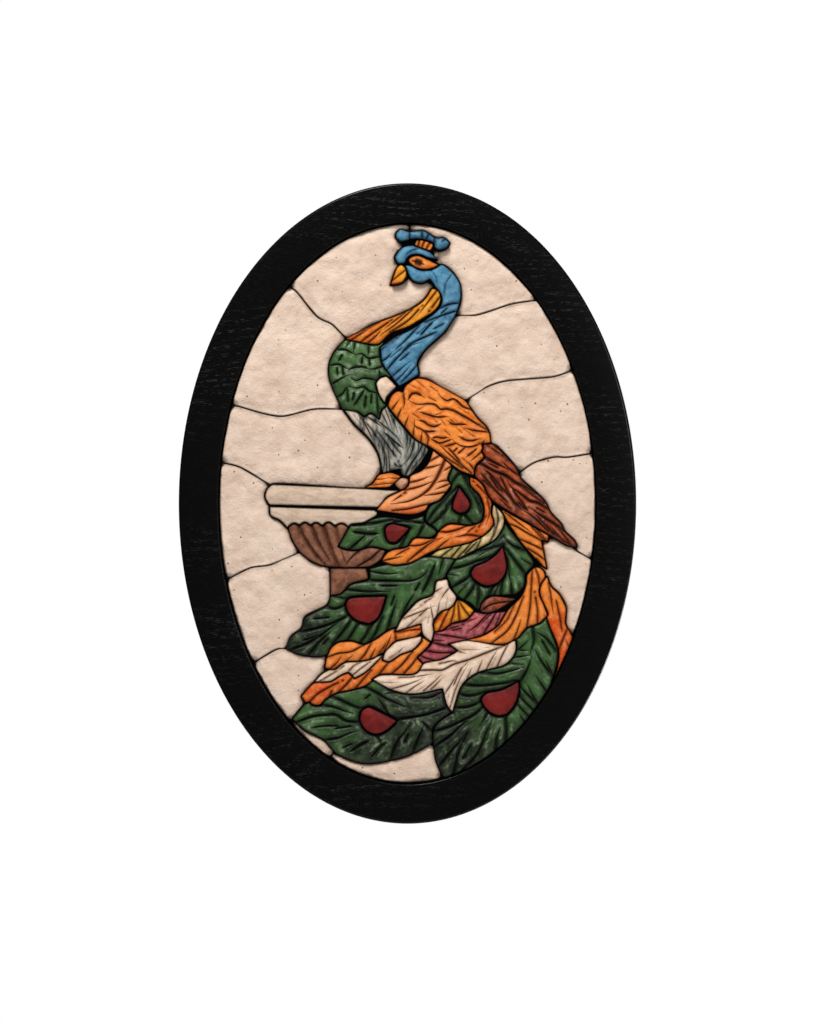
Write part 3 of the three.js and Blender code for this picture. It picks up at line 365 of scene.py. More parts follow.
def ragged_edge(points: np.ndarray) -> tuple[np.ndarray, np.ndarray]:
    """How the ground's slabs are broken away, unevenly, where they meet the frame.

    Args:
        points: The places, in millimetres.

    Returns:
        How far the face is broken down, in millimetres, and the share of black in the gap, which is the
        painted shadow of the frame's inner edge.
    """
    half = np.array(OPENING)
    ring = np.hypot(*(points / half).T)
    gap = np.clip((1 - ring) * half.min() * (1 + 0.4 * ring), 0, None)
    bite = BITE + BITE_SWING * np.clip(uneven(points, BITE_WAVE, 3.1) + 0.3, -0.6, 1.4)
    chipped = EDGE_BREAK * (1 - smooth_step(bite * 0.3, bite * 1.2 + 2.0, gap))
    return chipped, 1 - smooth_step(bite * 0.45, bite * 0.8 + 0.3, gap)


def broken_corners(points: np.ndarray, loop: np.ndarray) -> tuple[np.ndarray, np.ndarray]:
    """How a slab's outward corners are rounded off by handling.

    Args:
        points: The places, in millimetres.
        loop: The slab's outline, in even steps.

    Returns:
        How far the face is broken down, in millimetres, and the share of black in the gap.
    """
    before, after = loop - np.roll(loop, 3, axis=0), np.roll(loop, -3, axis=0) - loop
    turn = np.arctan2(before[:, 0] * after[:, 1] - before[:, 1] * after[:, 0], (before * after).sum(1))
    corners = loop[turn * np.sign(turn.sum()) > math.radians(CORNER_TURN)]
    if len(corners) == 0:
        return np.zeros(len(points)), np.zeros(len(points))
    away = np.min([np.hypot(*(points - corner).T) for corner in corners], axis=0)
    return CORNER_BREAK * (1 - smooth_step(*CORNER_REACH, away)), 1 - smooth_step(*CORNER_BLACK, away)


# ---------------------------------------------------------------- strokes

STROKE_STEP = 0.8           # spacing of the points along a stroke
TIP = 0.22                  # the share of a stroke's width that is left at its pointed end


class Cut(Enum):
    """How a stroke is cut: a plain groove, or a step down to the right of its direction."""

    GROOVE = 0
    STEP_RIGHT = -1


@dataclass(frozen=True)
class Stroke:
    """One carved stroke: its points, width and depth, how it is cut, and how much stain and painted shade it
    holds.

    Stain and shade above 1 turn the middle of the stroke black.
    """

    points: tuple
    width: float = 2.6
    depth: float = 1.5
    cut: Cut = Cut.GROOVE
    ink: float = 1.0

    def line(self) -> np.ndarray:
        """The stroke's middle line, sampled finely."""
        return bend(self.points, STROKE_STEP)

    def taper(self, share: np.ndarray, opens: tuple[bool, bool] = (False, False)) -> np.ndarray:
        """The stroke's width at a share of its length.

        Args:
            share: The places along it.
            opens: Whether its start and its end run out over the stone's edge, where the graver cuts deep.

        Returns:
            The width as a share of the full one: pointed at the ends that stop on the face.
        """
        share = np.clip(share, 0.012, 0.988)
        if all(opens):
            return np.ones(len(share))
        if any(opens):
            left = 1 - share if opens[0] else share
            return np.clip(1.25 * left ** 0.55, TIP, 1.0)
        return np.clip(1.5 * np.sqrt(np.clip(np.sin(np.pi * share), 0, 1)), TIP, 1.0)


def cuts(*strokes: list, **how) -> list[Stroke]:
    """Plain strokes through the given points, all cut alike."""
    return [Stroke(tuple(map(tuple, s)), **how) for s in strokes]


# ---------------------------------------------------------------- finishes

class Slot(Enum):
    """The record's material slots."""

    FRAME = "frame"
    BOARD = "board"
    SLAB = "slab_stone"
    RIM = "rim_stone"
    SHELL = "shell_stone"
    BLUE = "blue_stone"
    GREEN = "green_stone"
    GREY = "grey_stone"
    ORANGE = "orange_stone"
    AMBER = "amber_stone"
    BROWN = "brown_stone"
    RED = "red_stone"
    CREAM = "cream_stone"
    OLIVE = "olive_stone"
    MAGENTA = "magenta_stone"


@dataclass(frozen=True)
class StoneFinish:
    """Soft stone, stained right through its face and rubbed, with black stain left in the cuts and painted
    shade beside them and along the edges.

    The stain takes unevenly, so the colour is clouded at about a centimetre and speckled at a
    millimetre. Painted highlights make the high places paler, and a lower roughness makes them glossier
    than the hollows.
    """

    name: str
    base: str
    dark: str
    pale: str
    second: str
    ink: str = "#120e0c"
    highlight_colour: str = "#e8e2da"
    cloud_mm: float = 11.0
    cloud_amount: float = 0.9
    speck_mm: float = 1.6
    highlight_amount: float = 0.25
    streak: float = 1.0
    rough: float = 0.45
    grit: float = 0.35
    gloss: float = 0.16
    pale_amount: float = 0.5
    joint: str = "#0b0807"
    beside: str = "#9a7b68"
    near_amount: float = 0.0
    pit: str = "#8a6a52"
    pit_mm: float = 0.0
    grain_mm: float = 2.2

    def pits(self, tree: bpy.types.NodeTree, where: bpy.types.NodeSocket) -> bpy.types.NodeSocket:
        """Scattered round pits of a millimetre or two, few and far between.

        Args:
            tree: The material's node tree.
            where: The place on the piece.

        Returns:
            The share of the pit's colour.
        """
        cells = add_node(tree, "ShaderNodeTexVoronoi", {
            "Vector": where, "Scale": 1 / (self.pit_mm * MM), "Randomness": 1.0})
        size = add_node(tree, "ShaderNodeSeparateColor", {"Color": cells.outputs["Color"]})
        limit = add_node(tree, "ShaderNodeMapRange", {
            "Value": size.outputs[0], "From Min": 0.55, "From Max": 1.0, "To Min": 0.0, "To Max": 0.19})
        inside_pit = add_node(tree, "ShaderNodeMath", {
            0: limit.outputs[0], 1: cells.outputs["Distance"]}, operation="SUBTRACT")
        return add_node(tree, "ShaderNodeMapRange", {
            "Value": inside_pit.outputs[0], "From Min": 0.0, "From Max": 0.05}).outputs[0]

    def build(self) -> bpy.types.Material:
        """Makes the material.

        Returns:
            A material that reads Object coordinates and the piece's own values of stain and painted shade,
            tint, painted highlight, seam and near.
        """
        mat = bpy.data.materials.new(self.name)
        mat.use_nodes = True
        tree = mat.node_tree
        tree.nodes.clear()
        where = add_node(tree, "ShaderNodeTexCoord").outputs["Object"]
        ink, tint, highlight_share, seam, near = (
            add_node(tree, "ShaderNodeAttribute", attribute_name=name).outputs["Fac"]
            for name in ("ink", "tint", "highlight_share", "seam", "near"))

        def clouds(size_mm: float, detail: float, low: float, high: float,
                   stretch: float = 1.0) -> bpy.types.NodeSocket:
            """Noise of a real size, drawn out upwards, whose values between low and high become 0 to 1."""
            place = add_node(tree, "ShaderNodeMapping", {"Vector": where, "Scale": (1.0, 1.0, 1.0 / stretch)})
            cloud = add_node(tree, "ShaderNodeTexNoise", {
                "Vector": place.outputs[0], "Scale": 1 / (size_mm * MM), "Detail": detail, "Roughness": 0.6})
            spread = add_node(tree, "ShaderNodeMapRange", {
                "Value": cloud.outputs["Fac"], "From Min": low, "From Max": high})
            return spread.outputs[0]

        def mix(factor, first, second) -> bpy.types.NodeSocket:
            """Mixes two colours."""
            blend = add_node(tree, "ShaderNodeMix", {0: factor, 6: first, 7: second}, data_type="RGBA")
            return blend.outputs[2]

        def times(first, second, how: str = "MULTIPLY") -> bpy.types.NodeSocket:
            """Reckons with two numbers and keeps the result between 0 and 1."""
            return add_node(tree, "ShaderNodeMath", {0: first, 1: second},
                            operation=how, use_clamp=True).outputs[0]

        cloud = clouds(self.cloud_mm, detail=4.0, low=0.42, high=0.62, stretch=self.streak)
        speck = clouds(self.speck_mm, detail=3.0, low=0.45, high=0.75)
        patch = clouds(self.cloud_mm * 0.45, detail=5.0, low=0.48, high=0.72, stretch=self.streak)
        # Noise that breaks up the painted highlights
        highlight_noise = clouds(self.speck_mm * 3.0, detail=2.0, low=0.5, high=0.78)
        colour = mix(tint, linear(self.base), linear(self.second))
        colour = mix(times(cloud, self.cloud_amount), colour, linear(self.dark))
        colour = mix(times(patch, self.pale_amount), colour, linear(self.pale))
        colour = mix(times(speck, 0.25), colour, linear(self.dark))
        if self.pit_mm:
            colour = mix(self.pits(tree, where), colour, linear(self.pit))
        # Painted highlights: a pale colour on the high places, strongest in the glints beside the strokes
        highlight_mix = times(times(highlight_share, times(highlight_noise, 0.45, "ADD")), self.highlight_amount)
        colour = mix(highlight_mix, colour, linear(self.highlight_colour))
        # On the ground, the painted shade beside the figure, partly stain; on a worn stone, its paler colour
        colour = mix(times(near, self.near_amount), colour, linear(self.beside))
        ragged = clouds(1.3, detail=2.0, low=0.3, high=0.75)
        # The stain in the cuts, with the painted shade beside them and along the edges
        dark_share = times(times(ink, 1.2), times(ragged, 0.25), "SUBTRACT")
        colour = mix(dark_share, colour, linear(self.ink))
        # The black of the joints; on the ground it also holds the painted shadow of the frame's edge
        joint = times(times(seam, 1.3), times(ragged, 0.3), "SUBTRACT")
        colour = mix(joint, colour, linear(self.joint))
        # The painted highlights are also given a lower roughness
        worn = times(highlight_mix, 0.5)
        dull = times(times(speck, times(dark_share, joint, "ADD"), "ADD"), worn, "SUBTRACT")
        rough = add_node(tree, "ShaderNodeMapRange", {
            "Value": dull, "To Min": self.rough, "To Max": min(1.0, self.rough + 0.3)}).outputs[0]
        grain = add_node(tree, "ShaderNodeTexNoise", {
            "Vector": where, "Scale": 1 / (self.grain_mm * MM), "Detail": 6.0})
        bump = add_node(tree, "ShaderNodeBump", {
            "Height": grain.outputs["Fac"], "Strength": self.grit, "Distance": 0.0012})
        shader = add_node(tree, "ShaderNodeBsdfPrincipled", {
            "Base Color": colour, "Roughness": rough, "Normal": bump.outputs[0], "IOR": 1.5,
            "Specular IOR Level": self.gloss})
        add_node(tree, "ShaderNodeOutputMaterial", {"Surface": shader.outputs[0]})
        return mat


@dataclass(frozen=True)
class WoodFinish:
    """Open-pored wood stained black and waxed: satin, with pale dust left in the long pores."""

    name: str
    base: str = "#030303"
    pore: str = "#77777a"
    band_mm: float = 10.0
    pore_long_mm: float = 5.0
    pore_wide_mm: float = 0.7
    dust: float = 0.15
    rough: float = 0.42

    def build(self) -> bpy.types.Material:
        """Makes the material, with the grain running level across the panel."""
        mat = bpy.data.materials.new(self.name)
        mat.use_nodes = True
        tree = mat.node_tree
        tree.nodes.clear()
        where = add_node(tree, "ShaderNodeTexCoord").outputs["Object"]
        slow = add_node(tree, "ShaderNodeMapping", {"Vector": where, "Scale": (0.28, 1.0, 1.0)})
        wander = add_node(tree, "ShaderNodeTexNoise", {
            "Vector": slow.outputs[0], "Scale": 9.0, "Detail": 2.0})
        apart = add_node(tree, "ShaderNodeSeparateXYZ", {"Vector": where})
        bands = add_node(tree, "ShaderNodeMath", {
            0: wander.outputs["Fac"], 1: 0.16, 2: apart.outputs["Z"]}, operation="MULTIPLY_ADD")
        wave = add_node(tree, "ShaderNodeMath", {
            0: bands.outputs[0], 1: 2 * math.pi / (self.band_mm * MM)}, operation="MULTIPLY")
        wave = add_node(tree, "ShaderNodeMath", {0: wave.outputs[0]}, operation="SINE")
        early = add_node(tree, "ShaderNodeMapRange", {
            "Value": wave.outputs[0], "From Min": -0.5, "From Max": 1.0})
        stretched = add_node(tree, "ShaderNodeMapping", {
            "Vector": where, "Scale": (self.pore_wide_mm / self.pore_long_mm, 1.0, 1.0)})
        pores = add_node(tree, "ShaderNodeTexNoise", {
            "Vector": stretched.outputs[0], "Scale": 1 / (self.pore_wide_mm * MM), "Detail": 1.0})
        pore = add_node(tree, "ShaderNodeMapRange", {
            "Value": pores.outputs["Fac"], "From Min": 0.58, "From Max": 0.68})
        region = add_node(tree, "ShaderNodeTexNoise", {
            "Vector": slow.outputs[0], "Scale": 11.0, "Detail": 1.0})
        dusty = add_node(tree, "ShaderNodeMapRange", {
            "Value": region.outputs["Fac"], "From Min": 0.45, "From Max": 0.65})
        dust = add_node(tree, "ShaderNodeMath", {
            0: pore.outputs[0], 1: early.outputs[0]}, operation="MULTIPLY")
        soft = add_node(tree, "ShaderNodeMath", {
            0: dust.outputs[0], 1: dusty.outputs[0]}, operation="MULTIPLY")
        soft = add_node(tree, "ShaderNodeMath", {0: soft.outputs[0], 1: self.dust}, operation="MULTIPLY")
        colour = add_node(tree, "ShaderNodeMix", {
            0: soft.outputs[0], 6: linear(self.base), 7: linear(self.pore)}, data_type="RGBA")
        bump = add_node(tree, "ShaderNodeBump", {
            "Height": pore.outputs[0], "Strength": 0.35, "Distance": 0.0003}, invert=True)
        shader = add_node(tree, "ShaderNodeBsdfPrincipled", {
            "Base Color": colour.outputs[2], "Roughness": self.rough, "Normal": bump.outputs[0], "IOR": 1.48,
            "Specular IOR Level": 0.05, "Coat Weight": 0.15, "Coat Roughness": 0.18})
        add_node(tree, "ShaderNodeOutputMaterial", {"Surface": shader.outputs[0]})
        return mat


FINISHES: dict[Slot, StoneFinish | WoodFinish] = {
    # Ash, turned, stained black and waxed: black with faint pale dashes where the open pores hold dust
    Slot.FRAME: WoodFinish("ash_stained_black_waxed"),
    # Birch plywood, stained black: all but unseen at the bottom of the seams
    Slot.BOARD: WoodFinish("plywood_stained_black", base="#060504", pore="#1c1a18", rough=0.85),
    # Limestone, sawn and worked by hand: chalky, pinkish cream, with small brown pits; beside the figure
    # darker painted shade and a warm painted reflection, both partly stain
    Slot.SLAB: StoneFinish("limestone_hand_worked", "#dcc6b5", "#c6ad9b", "#e8d8ca", "#cf9468",
                           ink="#2e211a", highlight_colour="#f1e6da", cloud_mm=34, cloud_amount=0.6, speck_mm=2.6,
                           rough=0.8, grit=0.65, gloss=0.12, joint="#17100c", beside="#7d6352",
                           near_amount=0.7, pit="#77553d", pit_mm=7.0),
    # The same stone, honed smooth: a warmer cream with grey clouds along it
    Slot.RIM: StoneFinish("limestone_honed", "#d0b8a4", "#b49e8a", "#dccab9", "#a89c8a",
                          ink="#33261e", cloud_mm=16, speck_mm=2.0, streak=0.35, rough=0.6, highlight_amount=0.1),
    # Brown limestone, carved in flutes: dull brown with paler painted highlights on the ridges
    Slot.SHELL: StoneFinish("brown_limestone_carved", "#865742", "#5e3827", "#a5755c", "#4a3023",
                            ink="#21120b", cloud_mm=12, speck_mm=1.4, rough=0.55, highlight_colour="#c09a82"),
    # Stained limestone, rubbed and waxed: clear blue with deeper clouds
    Slot.BLUE: StoneFinish("limestone_stained_blue", "#4d88a9", "#2f6386", "#76a6bb", "#396d8c",
                           ink="#081119", highlight_colour="#b9d3da", rough=0.45, highlight_amount=0.25),
    # Deep green, with painted highlights on the high places that are nearly white
    Slot.GREEN: StoneFinish("limestone_stained_green", "#335a28", "#0f1f0c", "#587f42", "#0b1608",
                            ink="#040503", highlight_colour="#a8b99c", cloud_mm=17, speck_mm=2.6, highlight_amount=0.6,
                            rough=0.3, pale_amount=0.3, cloud_amount=0.65, gloss=0.3),
    # Grey-green wash over cream stone, dragged dark along the plumage
    Slot.GREY: StoneFinish("limestone_washed_grey", "#929891", "#2b3533", "#cdc2b3", "#d2bfad",
                           ink="#0a0d0c", highlight_colour="#ddd2c6", streak=4.0, cloud_amount=1.0, highlight_amount=0.35,
                           rough=0.45, pale_amount=0.7),
    # Orange stain, burnt brown in the cuts, with brown painted shade beside them and along the edges
    Slot.ORANGE: StoneFinish("limestone_stained_orange", "#e5832f", "#c96318", "#f2a864", "#cb470f",
                             ink="#521f07", highlight_colour="#f6cfa4", rough=0.5, beside="#ecb288", near_amount=0.75),
    Slot.AMBER: StoneFinish("limestone_stained_amber", "#e79a22", "#cf7a17", "#f3b64c", "#c8500f",
                            ink="#5a2006", highlight_colour="#f9dca0", rough=0.5),
    # Red-brown stain: dark streaks, and small bright painted glints
    Slot.BROWN: StoneFinish("limestone_stained_red_brown", "#a8461b", "#4e180a", "#c0602f", "#c48f72",
                            ink="#120502", highlight_colour="#e9c4a8", highlight_amount=0.4, rough=0.3, speck_mm=1.6,
                            pale_amount=0.35, gloss=0.25),
    # Flat oxblood discs, hardly carved
    Slot.RED: StoneFinish("limestone_stained_oxblood", "#751917", "#561110", "#882824", "#4d1416",
                          highlight_colour="#b9776a", highlight_amount=0.15, rough=0.45, cloud_mm=16),
    # Unstained stone with brown run into the cuts, and brown painted shade beside them and along the edges
    Slot.CREAM: StoneFinish("limestone_left_cream", "#e6cfbb", "#cdaf95", "#f2e1d2", "#c9a37c",
                            ink="#4e2d18", highlight_colour="#fbf0e2", cloud_mm=14, rough=0.6, joint="#1a100a"),
    Slot.OLIVE: StoneFinish("limestone_stained_yellow_green", "#cdb674", "#8c8244", "#dcc28c", "#e6c8a0",
                            ink="#0f0e05", highlight_colour="#efe0c0", rough=0.45),
    Slot.MAGENTA: StoneFinish("limestone_stained_magenta", "#b05055", "#6e2030", "#cf8488", "#7a3052",
                              ink="#26080c", highlight_colour="#e8beb6", rough=0.45, pale_amount=0.6),
}
MATERIALS: dict[Slot, bpy.types.Material] = {}


def material(slot: Slot) -> bpy.types.Material:
    """The one material of a slot, made when it is first asked for."""
    if slot not in MATERIALS:
        MATERIALS[slot] = FINISHES[slot].build()
    return MATERIALS[slot]


# ---------------------------------------------------------------- one stone

@dataclass(frozen=True)
class Carving:
    """What all the carved faces share, as lengths unless the comment says otherwise."""

    wave: float = 13.0          # the length of a chisel's unevenness
    seam: float = 1.15          # how far the black of the seam reaches over the edge
    edge_shade: float = 1.9     # how far the painted shade reaches in from the edge
    hole_shade: float = 3.0     # and round an opening that holds a drop
    hole_fall: float = 1.2      # how far the face sinks round such an opening
    hole_reach: float = 4.0     # and over what length
    margin: float = 9.0         # a stroke changes nothing farther away than this
    step_reach: float = 8.0     # how far the lower side of a step rises back
    step_shade: float = 2.2     # how far the painted shadow reaches over that side
    patch: float = 9.0          # the length of one glint along a stroke
    glint_off: float = 3.0      # how far beside a stroke the glint lies
    glint_wide: float = 1.9     # and how wide it is
    calm: float = 0.55          # the share by which strokes grow shallower where the face is low
    calm_depth: float = 5.0     # and the depth at which they are calmest
    plain_highlight: float = 0.12    # the share of painted highlight on a face without glints


CARVING = Carving()


@dataclass
class Stone:
    """A sawn and carved stone: how its face is worked, and the strokes cut into it."""

    node: str
    slot: Slot
    strokes: list[Stroke] = field(default_factory=list)
    edge_round: float = 4.2         # how far in from the edge the rounding reaches
    edge_fall: float = 3.4          # and how deep it falls
    dome: float = 1.2               # how much higher the middle stands
    dome_reach: float = 10.0
    chisel: float = 0.5             # the height of the face's unevenness
    rim_ink: float = 0.8            # the share of black at the seam
    painted_shade: float = 0.5               # the share of painted shade along the edge
    lobe: float = 1.3               # how deep the face falls towards a stroke
    lobe_reach: float = 5.0
    run_out: float = 5.0            # a stroke that ends this near the edge runs out over it
    shade_reach: float = 1.3         # how far the painted shade reaches beside a stroke
    worn: float = 0.0               # the share by which the stain is rubbed off the first colour
    step: float = FIGURE_STEP
    tint_from: tuple = ()           # from here to there the first colour turns into the second
    tint_to: tuple = ()
    seed: float = 0.0

    def carved_lines(self, loops: list[np.ndarray]) -> list[tuple[Stroke, np.ndarray, tuple[bool, bool]]]:
        """Carries the strokes that end close to the stone's edge on until they run out over it.

        Args:
            loops: The outline, and the outlines of any holes.

        Returns:
            Each stroke, its line, and which of its two ends run out.
        """
        found = []
        for stroke in self.strokes:
            line = stroke.line()
            gaps = self.depth_in(line[[0, -1]], loops)
            opens = tuple(bool(g < self.run_out) for g in gaps)
            if opens[0]:
                ahead = (line[0] - line[1]) / (np.hypot(*(line[0] - line[1])) + 1e-9)
                line = np.vstack([line[0] + ahead * (max(gaps[0], 0) + 1.5), line])
            if opens[1]:
                ahead = (line[-1] - line[-2]) / (np.hypot(*(line[-1] - line[-2])) + 1e-9)
                line = np.vstack([line, line[-1] + ahead * (max(gaps[1], 0) + 1.5)])
            found.append((stroke, line, opens))
        return found

    def surface_points(self, loops: list[np.ndarray]) -> np.ndarray:
        """Spreads points over the face, closer along the edge and the strokes.

        Args:
            loops: The outline, and the outlines of any holes.

        Returns:
            The points, the outlines' own not among them.
        """
        lo, hi = loops[0].min(0), loops[0].max(0)
        rows = np.arange(lo[1], hi[1], self.step * 0.866)
        grid = np.vstack([
            np.array([(x, z) for x in np.arange(lo[0] + (self.step / 2) * (k % 2), hi[0], self.step)])
            for k, z in enumerate(rows)])
        sets = [(grid, 0.0)]
        for stroke, line, opens in self.carved_lines(loops):
            along = np.gradient(line, axis=0)
            normal = np.column_stack([-along[:, 1], along[:, 0]])
            normal /= np.hypot(*normal.T)[:, None] + 1e-12
            share = np.linspace(0, 1, len(line))
            half = (stroke.taper(share, opens) * stroke.width / 2)[:, None]
            close = to_line(sets[0][0], line)[0] < stroke.width * 0.62
            sets[0] = (sets[0][0][~close], 0.0)
            sets.append((np.vstack([line + normal * half * k for k in (-1.0, -0.5, 0.0, 0.5, 1.0)]), 0.0))
        inner = np.vstack([s for s, _ in sets])
        keep = self.depth_in(inner, loops) > 0.9 * self.edge_round
        inner = inner[keep]
        rings = []
        for loop in loops:
            along = np.roll(loop, -1, axis=0) - np.roll(loop, 1, axis=0)
            normal = np.column_stack([-along[:, 1], along[:, 0]])
            normal /= np.hypot(*normal.T)[:, None] + 1e-12
            if not inside(loop[:1] + normal[:1] * 0.05, loops[0])[0] ^ (loop is not loops[0]):
                normal = -normal
            for reach in (0.08, 0.25, 0.5, 0.8):
                ring = loop + normal * self.edge_round * reach
                gap = self.depth_in(ring, loops)
                rings.append(ring[gap > 0.85 * self.edge_round * reach])
        return np.vstack([inner, *rings])

    def depth_in(self, points: np.ndarray, loops: list[np.ndarray]) -> np.ndarray:
        """How far each point lies inside the stone, negative outside it."""
        gap = np.full(len(points), np.inf)
        within = inside(points, loops[0])
        for loop in loops:
            gap = np.minimum(gap, to_line(points, np.vstack([loop, loop[:1]]))[0])
            if loop is not loops[0]:
                within &= ~inside(points, loop)
        return np.where(within, gap, -gap)

    def relief(self, points: np.ndarray, loops: list[np.ndarray]) -> tuple[np.ndarray, ...]:
        """Carves the face.

        Args:
            points: The places on the face.
            loops: The outline, and the outlines of any holes.

        Returns:
            How far each place lies below the stone's full height, its share of dark stain and painted shade,
            its share of painted highlight, and its share of black from the seam.
        """
        shared = CARVING
        gap = np.abs(self.depth_in(points, loops))
        t = np.clip(gap / self.edge_round, 0, 1)
        drop = self.edge_fall * (1 - np.sqrt(1 - (1 - t) ** 2))
        drop += self.dome * (1 - smooth_step(0, self.dome_reach, gap))
        wave = uneven(points, shared.wave, self.seed)
        drop += self.chisel * (1 + wave) * smooth_step(0, 3.0, gap)
        seam = self.rim_ink * (1 - smooth_step(0.0, shared.seam, gap))
        # Painted shade along the edge
        ink = self.painted_shade * np.exp(-(gap / shared.edge_shade) ** 2)
        # Painted shade round an opening that holds a drop, where the face also sinks
        for hole in loops[1:]:
            beside = to_line(points, np.vstack([hole, hole[:1]]))[0]
            ink = np.maximum(ink, 0.95 * np.exp(-(beside / shared.hole_shade) ** 2))
            drop += shared.hole_fall * np.exp(-(beside / shared.hole_reach) ** 2)
        lobes, grooves = np.zeros(len(points)), np.zeros(len(points))
        glints = np.zeros(len(points))
        for stroke, line, opens in self.carved_lines(loops):
            low, high = line.min(0) - shared.margin, line.max(0) + shared.margin
            near = np.flatnonzero(((points > low) & (points < high)).all(1))
            if len(near) == 0:
                continue
            dist, share, side = to_line(points[near], line)
            full = stroke.taper(share, opens)
            half = full * stroke.width / 2
            u = np.clip((dist - half * 0.5) / self.lobe_reach, 0, 1)
            fall = self.lobe * full * (1 - np.sqrt(1 - (1 - u) ** 2))
            hollow = stroke.depth * np.clip(full, 0.35, 1) * (1 - smooth_step(0, 1.3, dist / half))
            # Painted shade beside the stroke
            painted_shade = 0.6 * full * np.exp(-(dist / (half + self.shade_reach)) ** 2)
            if stroke.cut is Cut.STEP_RIGHT:
                lower = side * stroke.cut.value > 0
                ends = np.sqrt(np.clip(np.sin(np.pi * np.clip(share, 0.05, 0.95)), 0, 1))
                ramp = stroke.depth * 1.15 * ends * (1 - smooth_step(0.0, shared.step_reach, dist))
                fall = np.where(lower, ramp, fall * 0.8)
                # Painted shadow below the step, on its lower side
                dark_share = 0.6 * ends * np.exp(-(dist / (half + shared.step_shade)) ** 2)
                painted_shade = np.where(lower, dark_share, painted_shade * 0.5)
            lobes[near] = np.maximum(lobes[near], fall)
            grooves[near] = np.maximum(grooves[near], hollow)
            # The black stain in the cut itself; beside it the painted shade
            core = stroke.ink * (1 - smooth_step(half * 0.35, half * 1.1, dist))
            ink[near] = np.maximum(ink[near], np.maximum(core, stroke.ink * painted_shade))
            seam[near] = np.maximum(seam[near], core - 1)
            # Painted glints: pale streaks along the strokes, a little way beside them
            length = np.hypot(*np.diff(line, axis=0).T).sum()
            patch = uneven(np.column_stack([share * length, dist * 2.0]) + line[0], shared.patch, self.seed)
            off = (dist - half - shared.glint_off) / shared.glint_wide
            glint = np.exp(-off ** 2) * smooth_step(0.1, 0.9, patch)
            glints[near] = np.maximum(glints[near], glint)
        drop = drop + (lobes + grooves) * (1 - shared.calm * np.clip(drop / shared.calm_depth, 0, 1))
        # The painted highlight: a little over the whole face away from the edge, full in the glints
        highlight_level = shared.plain_highlight + (1 - shared.plain_highlight) * glints
        highlight_share = np.clip(smooth_step(1.0, 4.5, gap) * highlight_level - ink, 0, 1)
        return drop, np.clip(ink, 0, 1), highlight_share, np.clip(seam, 0, 1)

    def tint(self, points: np.ndarray) -> np.ndarray:
        """The share of the finish's second colour, from 0 at one place to 1 at the other."""
        if not self.tint_from:
            return np.zeros(len(points))
        a, b = np.array(self.tint_from, float), np.array(self.tint_to, float)
        return smooth_step(0, 1, ((points - a) @ (b - a)) / ((b - a) @ (b - a)))

    def face(self, loops: list[np.ndarray]) -> tuple[np.ndarray, np.ndarray]:
        """Spans the face with triangles.

        Args:
            loops: The outline, and the outlines of any holes.

        Returns:
            The points, and the triangles as rows of three point numbers.
        """
        flat = np.vstack([*loops, self.surface_points(loops)])
        edges, start = [], 0
        for loop in loops:
            n = len(loop)
            edges += [(start + i, start + (i + 1) % n) for i in range(n)]
            start += n
        coords, _, faces, *_ = delaunay_2d_cdt([Vector(p) for p in flat], edges, [], 0, 1e-4)
        points = np.array([tuple(c) for c in coords])
        tris = np.array([f for f in faces if len(f) == 3])
        middle = points[tris].mean(1)
        within = inside(middle, loops[0])
        for hole in loops[1:]:
            within &= ~inside(middle, hole)
        tris = tris[within]
        used = np.unique(tris)
        index = np.full(len(points), -1)
        index[used] = np.arange(len(used))
        return points[used], index[tris]

    def build(self) -> bpy.types.Object:
        """Makes the stone's mesh, carves it, closes it and dresses it.

        Returns:
            The finished object, which stands for the stone's solid.
        """
        top = -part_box(self.node)[0].y / MM
        step = SLAB_EDGE_STEP if self.slot is Slot.SLAB else FIGURE_EDGE_STEP
        loops = [rounded_loop(loop, step, HOLE_ROOM if k else OUTER_ROOM)
                 for k, loop in enumerate(outlines(self.node))]
        points, tris = self.face(loops)
        drop, ink, highlight_share, seam = self.relief(points, loops)
        # On the ground, painted shade beside the figure and a painted warm reflection beside the warm stones,
        # both partly stain
        near, warm = beside_figure(points) if self.slot is Slot.SLAB else (np.zeros(len(points)),) * 2
        if self.worn:
            near = self.worn * (1 - ink) * (1 - self.tint(points))
        if self.slot is Slot.SLAB:
            drop += FIGURE_HOLLOW * near
            # The break along the frame brings the frame's painted shadow in its black
            for chipped, dark in (ragged_edge(points), broken_corners(points, loops[0])):
                drop += chipped
                seam = np.maximum(seam, dark)
        heights = np.clip(top - drop, BED + THINNEST, top)
        verts = [(x * MM, -h * MM, z * MM) for (x, z), h in zip(points, heights)]
        mesh = bpy.data.meshes.new(self.node + "_carved")
        mesh.from_pydata(verts, [], tris.tolist())
        # On the ground the second colour is the painted warm reflection beside the warm stones
        tint = warm if self.slot is Slot.SLAB else self.tint(points)
        for name, values in (("ink", ink), ("highlight_share", highlight_share), ("tint", tint), ("seam", seam), ("near", near)):
            layer = mesh.attributes.new(name, "FLOAT", "POINT")
            layer.data.foreach_set("value", np.asarray(values, np.float32))
        obj = bpy.data.objects.new(self.node + "_carved", mesh)
        bpy.context.scene.collection.objects.link(obj)
        self.close(obj)
        mesh.materials.append(material(self.slot))
        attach(obj, "root")
        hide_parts(self.node)
        log.info("%s: %d triangles", self.node, len(obj.data.polygons))
        return obj

